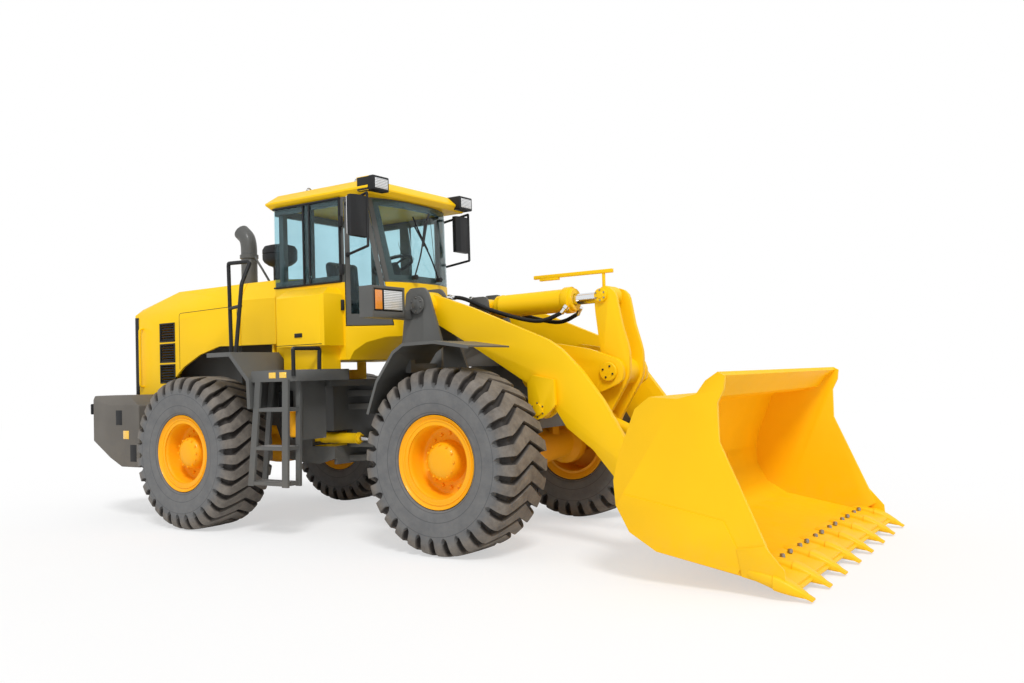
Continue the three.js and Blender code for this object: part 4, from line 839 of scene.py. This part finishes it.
def lamp(name, body, box, out, material, rim=0.008):
    """Black frame with a lens pillow, 4 mm out of it and 12 mm into it, that faces along x."""
    lo, hi = box
    dress(rounded_block(name + "_frame", lo, hi, 0.012, 24, 12), body, BLACK)
    face = hi[0] if out > 0 else lo[0]
    a, b = sorted((face - out * 0.012, face + out * 0.004))
    dress(rounded_block(name + "_lens", (a, lo[1] + rim, lo[2] + rim),
                        (b, hi[1] - rim, hi[2] - rim), 0.006, 24, 12), body, material)


for side, g in SIDES:
    lamp("roof_lamp_" + side, "rear", corners(g, (0.298, 0.560, 3.214), (0.510, 0.786, 3.354)), 1,
         LED, 0.022)
    lamp("head_lamp_" + side, "front", corners(g, (0.880, 0.932, 2.036), (0.953, 1.190, 2.220)), 1,
         LED)
    lamp("turn_lamp_" + side, "front", corners(g, (0.880, 1.196, 2.036), (0.953, 1.302, 2.220)), 1,
         AMBER)
    lamp("tail_lamp_" + side, "rear", corners(g, (-3.574, 0.930, 1.14), (-3.54, 1.100, 1.26)), -1,
         RED)
    eased("mirror_" + side, BLACK, 0.012, segments=3)
    inner, outer = (0.595, 0.820) if g > 0 else (-1.025, -0.780)
    glassy = rounded_block(f"mirror_{side}_glass", P(0.372, inner + 0.014, 2.785),
                           P(0.379, outer - 0.014, 3.135), 0.003)
    dress(glassy, node_body["mirror_" + side], CHROME)
    for k, x in enumerate((-0.62, 0.05)):
        ring = np.arange(25) * tau / 25
        loop = np.stack([np.zeros(25), np.cos(ring) * 0.034, np.sin(ring) * 0.034], -1)
        loop = np.vstack([loop, loop[:1]]) + P(x, 0.50 * g, 3.385)
        foot = lathe("eb_b", [(0, 3.335), (0.022, 3.336), (0.022, 3.345), (0.01, 3.352),
                              (0, 3.354)],
                     P(x, 0.50 * g, 0), "z", 24)
        bolt = merge(f"eye_bolt_{side}_{k}", [sweep("eb_a", loop, 0.008, 10), foot])
        dress(bolt, "rear", STEEL)
print("lamps and mirrors ready")

# %% [markdown]
# A wiper is an arm bent outwards over the screen and a flatter blade that lies on it. Both are
# sweeps along soft curves, and the arm turns on a small boss.

# %% Wipers
WIPERS = (((0.512, -0.22, 2.43), (0.432, 0.06, 3.02)), ((0.512, 0.16, 2.43), (0.44, -0.12, 2.96)))
for k, (foot, top) in enumerate(WIPERS):
    foot, top = P(*foot), P(*top)
    elbow = foot * 0.55 + top * 0.45 + (0.026, 0, 0)
    blade = [foot * 0.45 + top * 0.55 + (0.018, 0.02, 0), top * 0.9 + foot * 0.1 + (0.012, 0.02, 0),
             top * 1.16 - foot * 0.16 + (0.016, 0.02, 0)]
    wiper = merge(f"wiper_{k}", [sweep("w_a", smooth_path([foot, elbow, top], 12), 0.008, 10),
                                 sweep("w_b", smooth_path(blade, 12), 0.011, 10, 0.5),
                                 lathe("w_c",
                                       [(0, -0.02), (0.022, -0.02), (0.024, 0.03), (0, 0.035)],
                                       foot, "x", 24)])
    dress(wiper, "rear", BLACK)
print("wipers ready")

# %% [markdown]
# ## Hood vents and rear grille
# A louvre is a stack of sloping slats in a black frame. One slat is a rounded block; the stack is
# the same points moved up by one step each time, and each slat is tilted by moving its outer edge
# down.

# %% Louvres
def louvre(name, body, lo, hi, out, count, axis=1):
    """count slats between lo and hi: one rounded block each, z lowered by 0.8 x depth outwards."""
    lo, hi = np.asarray(lo, float), np.asarray(hi, float)
    step = (hi[2] - lo[2]) / count
    slats = []
    for k in range(count):
        z = lo[2] + (k + 0.5) * step
        a, b = lo.copy(), hi.copy()
        a[2], b[2] = z - 0.005, z + 0.005
        pts = block_points(a, b, 0.004, 16, 8)
        pts[..., 2] -= (pts[..., axis] - (lo[axis] + hi[axis]) / 2) * out * 0.8
        slats.append(from_grid(f"{name}_{k}", pts, caps=True))
    return dress(merge(name, slats), body, BLACK)


def frame_ring(name, body, lo, hi, width):
    """Four rounded black bars round an opening that faces sideways."""
    bars = []
    for k, (ax, end) in enumerate(((0, 0), (0, 1), (2, 0), (2, 1))):
        a, b = lo.copy(), hi.copy()
        if end:
            a[ax] = hi[ax] - width
        else:
            b[ax] = lo[ax] + width
        bars.append(rounded_block(f"{name}_{k}", a, b, width * 0.3))
    return dress(merge(name, bars), body, BLACK)


for side, g in SIDES:
    for k in range(3):
        z = 1.480 + 0.232 * k
        louvre(f"vent_{side}_{k}", "hood",
               *corners(g, (-2.796, 0.700, z + 0.006), (-2.554, 0.716, z + 0.184)), g, 6)
        frame_ring(f"vent_{side}_{k}_frame", "hood",
                   *corners(g, (-2.812, 0.702, z - 0.012), (-2.538, 0.726, z + 0.202)), 0.018)
louvre("grille_slats", "hood", P(-3.322, -0.585, 1.365), P(-3.300, 0.585, 2.155), -1, 22, 0)
print("louvres ready")

# %% [markdown]
# ## Cab inside
# The seat's cushion and back are padded cloth. Each starts as a rounded block that is crowned in
# the middle, and a short cloth simulation with a little air pressure swells it between its corners.
# The cloth is a woven cover: two crossed sine waves make the weave and a broad noise fades it.

# %% Woven cover
def woven():
    m, tree, shader, where = new_material("seat_cloth")
    parts = node(tree, "SeparateXYZ", Vector=where)

    def wave(k, n):
        return maths(tree, "SINE", maths(tree, "MULTIPLY", parts.outputs[k], n))

    weave = maths(tree, "MULTIPLY", wave(1, 1800.0), wave(2, 1800.0))
    spots = noise(tree, where, 55.0, Detail=3.0)
    stripe = ramp(tree, wave(1, 26.0), 0.55, 0.7)
    base = mix(tree, ramp(tree, spots, 0.48, 0.56), rgba((0.035, 0.045, 0.055)),
               rgba((0.13, 0.16, 0.18)))
    base = mix(tree, stripe, base, rgba((0.05, 0.06, 0.07)))
    wire(tree, shader, Base_Color=base, Normal=bumps(tree, weave, 0.4, 0.0012), Roughness=0.92,
         Sheen_Weight=0.35)
    return m


WOVEN = woven()


def puff(piece, cap_at=0.012, voxel=0.012):
    """Remesh, 20 frames of cloth with air pressure (no point moves over cap_at), then smooth."""
    context = bpy.context
    context.view_layer.objects.active = piece
    remesh = piece.modifiers.new("even", "REMESH")
    remesh.mode, remesh.voxel_size = "VOXEL", voxel
    with context.temp_override(object=piece, active_object=piece):
        bpy.ops.object.modifier_apply(modifier="even")
    before = points_of(piece.data)
    cloth = piece.modifiers.new("air", "CLOTH")
    cloth.settings.use_pressure = True
    cloth.settings.uniform_pressure_force = 4
    cloth.settings.quality = 6
    cloth.settings.effector_weights.gravity = 0
    cloth.point_cache.frame_start, cloth.point_cache.frame_end = 1, 20
    for frame_number in range(1, 21):
        scene.frame_set(frame_number)
    move = points_of(piece.evaluated_get(context.evaluated_depsgraph_get()).data) - before
    piece.modifiers.remove(cloth)
    scene.frame_set(1)
    far = np.linalg.norm(move, axis=1, keepdims=True)
    move *= np.minimum(1, cap_at / np.maximum(far, 1e-9))
    piece.data.vertices.foreach_set("co", (before + move).ravel())
    print(piece.name, "swelled by", round(float(np.minimum(far, cap_at).mean()) * 1000, 1),
          "mm")
    piece.data.update()
    piece.data.shade_smooth()
    soft = piece.modifiers.new("soft", "SUBSURF")
    soft.levels = soft.render_levels = 1
    return piece


def cushion(name, lo, hi, crown_axis, crown):
    """Rounded block whose crown side rises by crown x (1 - u^2)(1 - v^2)."""
    lo, hi = np.asarray(lo, float), np.asarray(hi, float)
    pts = block_points(lo + 0.01, hi - 0.01, 0.045, 64, 32)
    mid, half = (lo + hi) / 2, (hi - lo) / 2
    q = (pts - mid) / half
    rest = [k for k in range(3) if k != crown_axis]
    bulge = ((1 - np.clip(np.abs(q[..., rest[0]]), 0, 1) ** 2)
             * (1 - np.clip(np.abs(q[..., rest[1]]), 0, 1) ** 2))
    pts[..., crown_axis] += crown * bulge * (q[..., crown_axis] > 0)
    return from_grid(name, pts, caps=True)


seat_base = cushion("seat_cushion", P(-0.610, -0.250, 1.990), P(-0.060, 0.250, 2.105), 2, 0.012)
seat_back = cushion("seat_back", P(-0.735, -0.235, 2.085), P(-0.620, 0.235, 2.715), 0, 0.012)
shear = points_of(seat_back.data)
shear[:, 0] += (2.72 - shear[:, 2]) * 0.12
seat_back.data.vertices.foreach_set("co", shear.ravel())
for piece in (seat_base, seat_back):
    puff(piece)
    dress(piece, "rear", WOVEN)
seat_frame = merge("seat_frame", [
    rounded_block("sf_a", P(-0.515, -0.168, 1.692), P(-0.205, 0.168, 1.988), 0.03, 32, 16),
    *[rounded_block("sf_b", *corners(g, (-0.640, 0.277, 2.202), (-0.242, 0.343, 2.258)), 0.025, 32,
                    16)
      for _, g in SIDES],
    *[sweep("sf_c", bent_path(across(g, [(-0.60, 0.26, 2.23), (-0.60, 0.26, 2.05),
                                         (-0.50, 0.16, 1.95)]), 0.05), 0.016, 12)
      for _, g in SIDES]])
dress(seat_frame, "rear", BLACK)
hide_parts("seat")
print("seat ready")

# %% [markdown]
# The steering wheel's grip is a circle swept round a tilted circle, and its column is turned about
# the line from the hub down to the floor.

# %% Steering wheel
turn_y = math.radians(-22)
a = np.arange(65) * tau / 64
wheel_ring = np.stack([np.cos(a) * 0.205 * math.cos(turn_y), np.sin(a) * 0.205,
                       -np.cos(a) * 0.205 * math.sin(turn_y)], -1) + P(0.050, 0, 2.610)
wheel = merge("steering_wheel_grip", [
    sweep("sw_a", wheel_ring, 0.018, 14),
    along("sw_b", [(0, 0), (0.057, 0), (0.060, 0.03), (0.057, 0.2), (0.06, 0.6), (0.058, 0.70),
                   (0, 0.7)],
          P(0.055, 0, 2.595), P(0.300, 0, 1.905), 32)])
dress(wheel, "rear", BLACK)
print("steering wheel ready")

# %% [markdown]
# ## Bucket teeth
# A digging tooth is a cast adaptor that grips the edge, with a pointed tip pushed onto it. It is
# one loft: a squared oval whose width and height are given at a few stations from the edge to the
# point.

# %% Teeth
def tooth(name, y):
    """Stations (x, z, half width, half height); the section is cos and sin to the power 0.55."""
    st = np.array([(4.160, 0.150, 0.034, 0.020), (4.200, 0.148, 0.052, 0.030),
                   (4.290, 0.128, 0.060, 0.040), (4.345, 0.112, 0.062, 0.044),
                   (4.352, 0.110, 0.068, 0.050), (4.400, 0.096, 0.066, 0.048),
                   (4.460, 0.074, 0.054, 0.038), (4.520, 0.050, 0.036, 0.024),
                   (4.565, 0.031, 0.018, 0.010), (4.584, 0.022, 0.008, 0.004)])
    a = (np.arange(24) * tau / 24)[:, None]
    c, s = np.cos(a), np.sin(a)
    yy = y + st[:, 2] * np.sign(c) * np.abs(c) ** 0.55
    zz = st[:, 1] + st[:, 3] * np.sign(s) * np.abs(s) ** 0.55
    xx = np.broadcast_to(st[:, 0] + SHIFT, yy.shape)
    return from_grid(name, np.stack([xx, yy, zz], -1), caps=True)


TOOTH_Y = 1.450             # middle of the outer teeth
teeth = merge("bucket_teeth", [tooth(f"tooth_{k}", -TOOTH_Y + 2 * TOOTH_Y * k / 7)
                               for k in range(8)])
dress(teeth, "bucket", BUCKET_YELLOW)
edge_bolts = []
for k in range(7):
    y = -TOOTH_Y + 2 * TOOTH_Y * (k + 0.5) / 7
    for dy in (-0.09, 0.09):
        edge_bolts.append(lathe(f"eb_{k}_{dy}",
                                [(0, -0.012), (0.020, -0.012), (0.018, 0.010), (0.010, 0.014),
                                 (0, 0.014)], P(4.235, y + dy, 0.165), "z", 12))
dress(merge("edge_bolts", edge_bolts), "bucket", STEEL)
print("teeth ready")

# %% [markdown]
# ## Rails, seals and trim
# Handrails are bent tube. A window sits in a black rubber seal, which from outside reads as a dark
# line. Both are sweeps: the rail along a path with rounded corners, the seal along a flat loop.

# %% Rails and seals
for side, g in SIDES:
    rails = merge(f"rails_{side}", [
        sweep("r_a", bent_path(across(g, [(-0.040, 1.310, 1.50), (-0.040, 1.310, 1.750),
                                          (0.010, 1.030, 1.750), (0.000, 1.030, 1.50)]), 0.02),
              0.0185, 16),
        sweep("r_b", bent_path(across(g, [(-0.830, 1.300, 1.735), (-0.790, 1.250, 2.400),
                                          (-0.800, 1.130, 2.630), (-1.120, 1.130, 2.640),
                                          (-1.100, 1.130, 1.735)]), 0.03),
              0.0195, 16),
        sweep("r_c", across(g, [(-0.798, 1.260, 2.190), (-1.110, 1.130, 2.190)]), 0.0165, 16)])
    dress(rails, "rear", BLACK)
    y = 0.774 * g
    seals = [sweep(f"s_{k}", [P(x, y, 2.392), P(x, y, 3.19)], 0.010, 10)
             for k, x in enumerate((-0.435, -0.352, 0.052))]
    seals += [sweep("s_low", [P(-0.86, y, 2.392), P(0.06, y, 2.392)], 0.009, 10),
              sweep("s_top", [P(-0.86, y, 3.190), P(0.06, y, 3.190)], 0.012, 10)]
    dress(merge(f"window_seals_{side}", seals), "rear", BLACK)
    hinges = [lathe(f"h_{k}", [(0, z - 0.05), (0.016, z - 0.05), (0.018, z - 0.046),
                               (0.018, z + 0.046), (0.016, z + 0.05), (0, z + 0.05)],
                    P(0.088, 0.790 * g, 0), "z", 16)
              for k, z in enumerate((2.16, 2.50, 2.96))]
    dress(merge(f"door_hinges_{side}", hinges), "rear", BLACK)
print("rails and seals ready")

# %% [markdown]
# Small parts tell the size of a machine: a lifting eye, a reflector, a latch, a filter can. Each is
# placed from the CAD sizes of the part that carries it.

# %% Trim
REFLECT = lens_finish("reflector", (0.85, 0.42, 0.01), (1.0, 0.62, 0.03), 900.0)


def plate(name, body, g, lo, hi, material):
    return dress(rounded_block(name, *corners(g, lo, hi), 0.004), body, material)


VALVE_HOSES = (((-0.395, 1.118, 1.14), (-0.36, 1.100, 0.93)),
               ((-0.309, 1.118, 1.14), (-0.27, 1.105, 0.91)))
for side, g in SIDES:
    plate(f"rear_trim_{side}", "hood", g, (-3.262, 0.690, 1.350), (-3.195, 0.724, 2.235), BLACK)
    grip = bent_path(across(g, [(-3.120, 0.715, 1.44), (-3.120, 0.765, 1.44), (-3.120, 0.765, 2.10),
                                (-3.120, 0.715, 2.10)]), 0.03)
    dress(sweep(f"hood_grip_{side}", grip, 0.012, 12), "hood", YELLOW)
    # Painted shade: black plates stand for the shade inside the counterweight's two square recesses.
    plate(f"weight_pocket_shade_a_{side}", "rear", g, (-2.93, 1.19, 1.03), (-2.82, 1.203, 1.19), BLACK)
    plate(f"weight_pocket_shade_b_{side}", "rear", g, (-2.68, 1.19, 0.64), (-2.57, 1.203, 0.82), BLACK)
    plate(f"weight_reflector_{side}", "rear", g, (-2.80, 1.19, 0.88), (-2.70, 1.204, 0.97), REFLECT)
    for k, x in enumerate((-0.22, -0.08)):
        plate(f"deck_reflector_{side}_{k}", "rear", g, (x, 1.352, 1.482), (x - 0.09, 1.364, 1.536),
              REFLECT)
    foot = P(-0.215, 1.142 * g, 0)
    can = merge(f"filter_can_{side}", [
        lathe("can_a", [(0, 0.93), (0.04, 0.93), (0.048, 0.94), (0.048, 1.15), (0.040, 1.165),
                        (0, 1.165)], foot, "z", 28),
        lathe("can_b", [(0, 1.165), (0.052, 1.165), (0.055, 1.17), (0.055, 1.20), (0, 1.205)], foot,
              "z", 28)])
    dress(can, "rear", RIM_YELLOW)
    valve = merge(f"valve_block_{side}", [
        rounded_block("v_a", *corners(g, (-0.420, 1.088, 1.20), (-0.285, 1.150, 1.36)), 0.008),
        *[lathe(f"v_{k}", [(0, 1.13), (0.016, 1.13), (0.018, 1.15), (0.018, 1.20), (0, 1.20)],
                P(-0.395 + 0.043 * k, 1.118 * g, 0), "z", 12) for k in range(3)]])
    dress(valve, "rear", BLACK)
    for k, (a, b) in enumerate(VALVE_HOSES):
        mid = ((a[0] + b[0]) / 2 - 0.03, 1.140, (a[2] + b[2]) / 2)
        hose(f"valve_hose_{side}_{k}", "rear", across(g, (a, mid, b)), 0.011, 20)
    latch = merge(f"box_latch_{side}", [
        rounded_block("l_a", *corners(g, (-0.28, 1.057, 1.86), (-0.18, 1.068, 1.90)), 0.005),
        eye("l_b", P(-0.20, 1.068 * g, 1.88), 0.014, 0.006)])
    dress(latch, "rear", BLACK)
    line = across(g, [(-0.545, 1.0595, 1.79), (0.07, 1.0595, 1.79)])
    dress(sweep(f"box_seam_{side}", line, 0.003, 8), "rear", BLACK)
    seam = bent_path(across(g, [(-2.46, 0.7195, 1.62), (-2.46, 0.7195, 2.24), (-1.50, 0.7195, 2.26),
                                (-1.50, 0.7195, 1.86)]), 0.04)
    dress(sweep(f"hood_seam_{side}", seam, 0.003, 8), "hood", BLACK)
    ribs = [sweep(f"rib_{z}_{k}", across(g, [(x0, 1.20 + 0.034 * k, z + 0.015),
                                             (x1, 1.20 + 0.034 * k, z + 0.015)]), 0.004, 6)
            for z, x0, x1 in ((0.515, -0.57, -0.13), (0.839, -0.53, -0.12), (1.194, -0.48, -0.11))
            for k in range(5)]
    dress(merge(f"step_ribs_{side}", ribs), "rear", STEEL)
print("trim ready")

# %% [markdown]
# ## Glass
# The panes keep their CAD shape and only get a finish.

# %% Glass panes
for name in ("cab_glass", "door_glass_left", "door_glass_right", "windshield"):
    finishes = frame["nodes"][name].data.materials
    finishes.clear()
    finishes.append(SCREEN if name == "windshield" else GLASS)
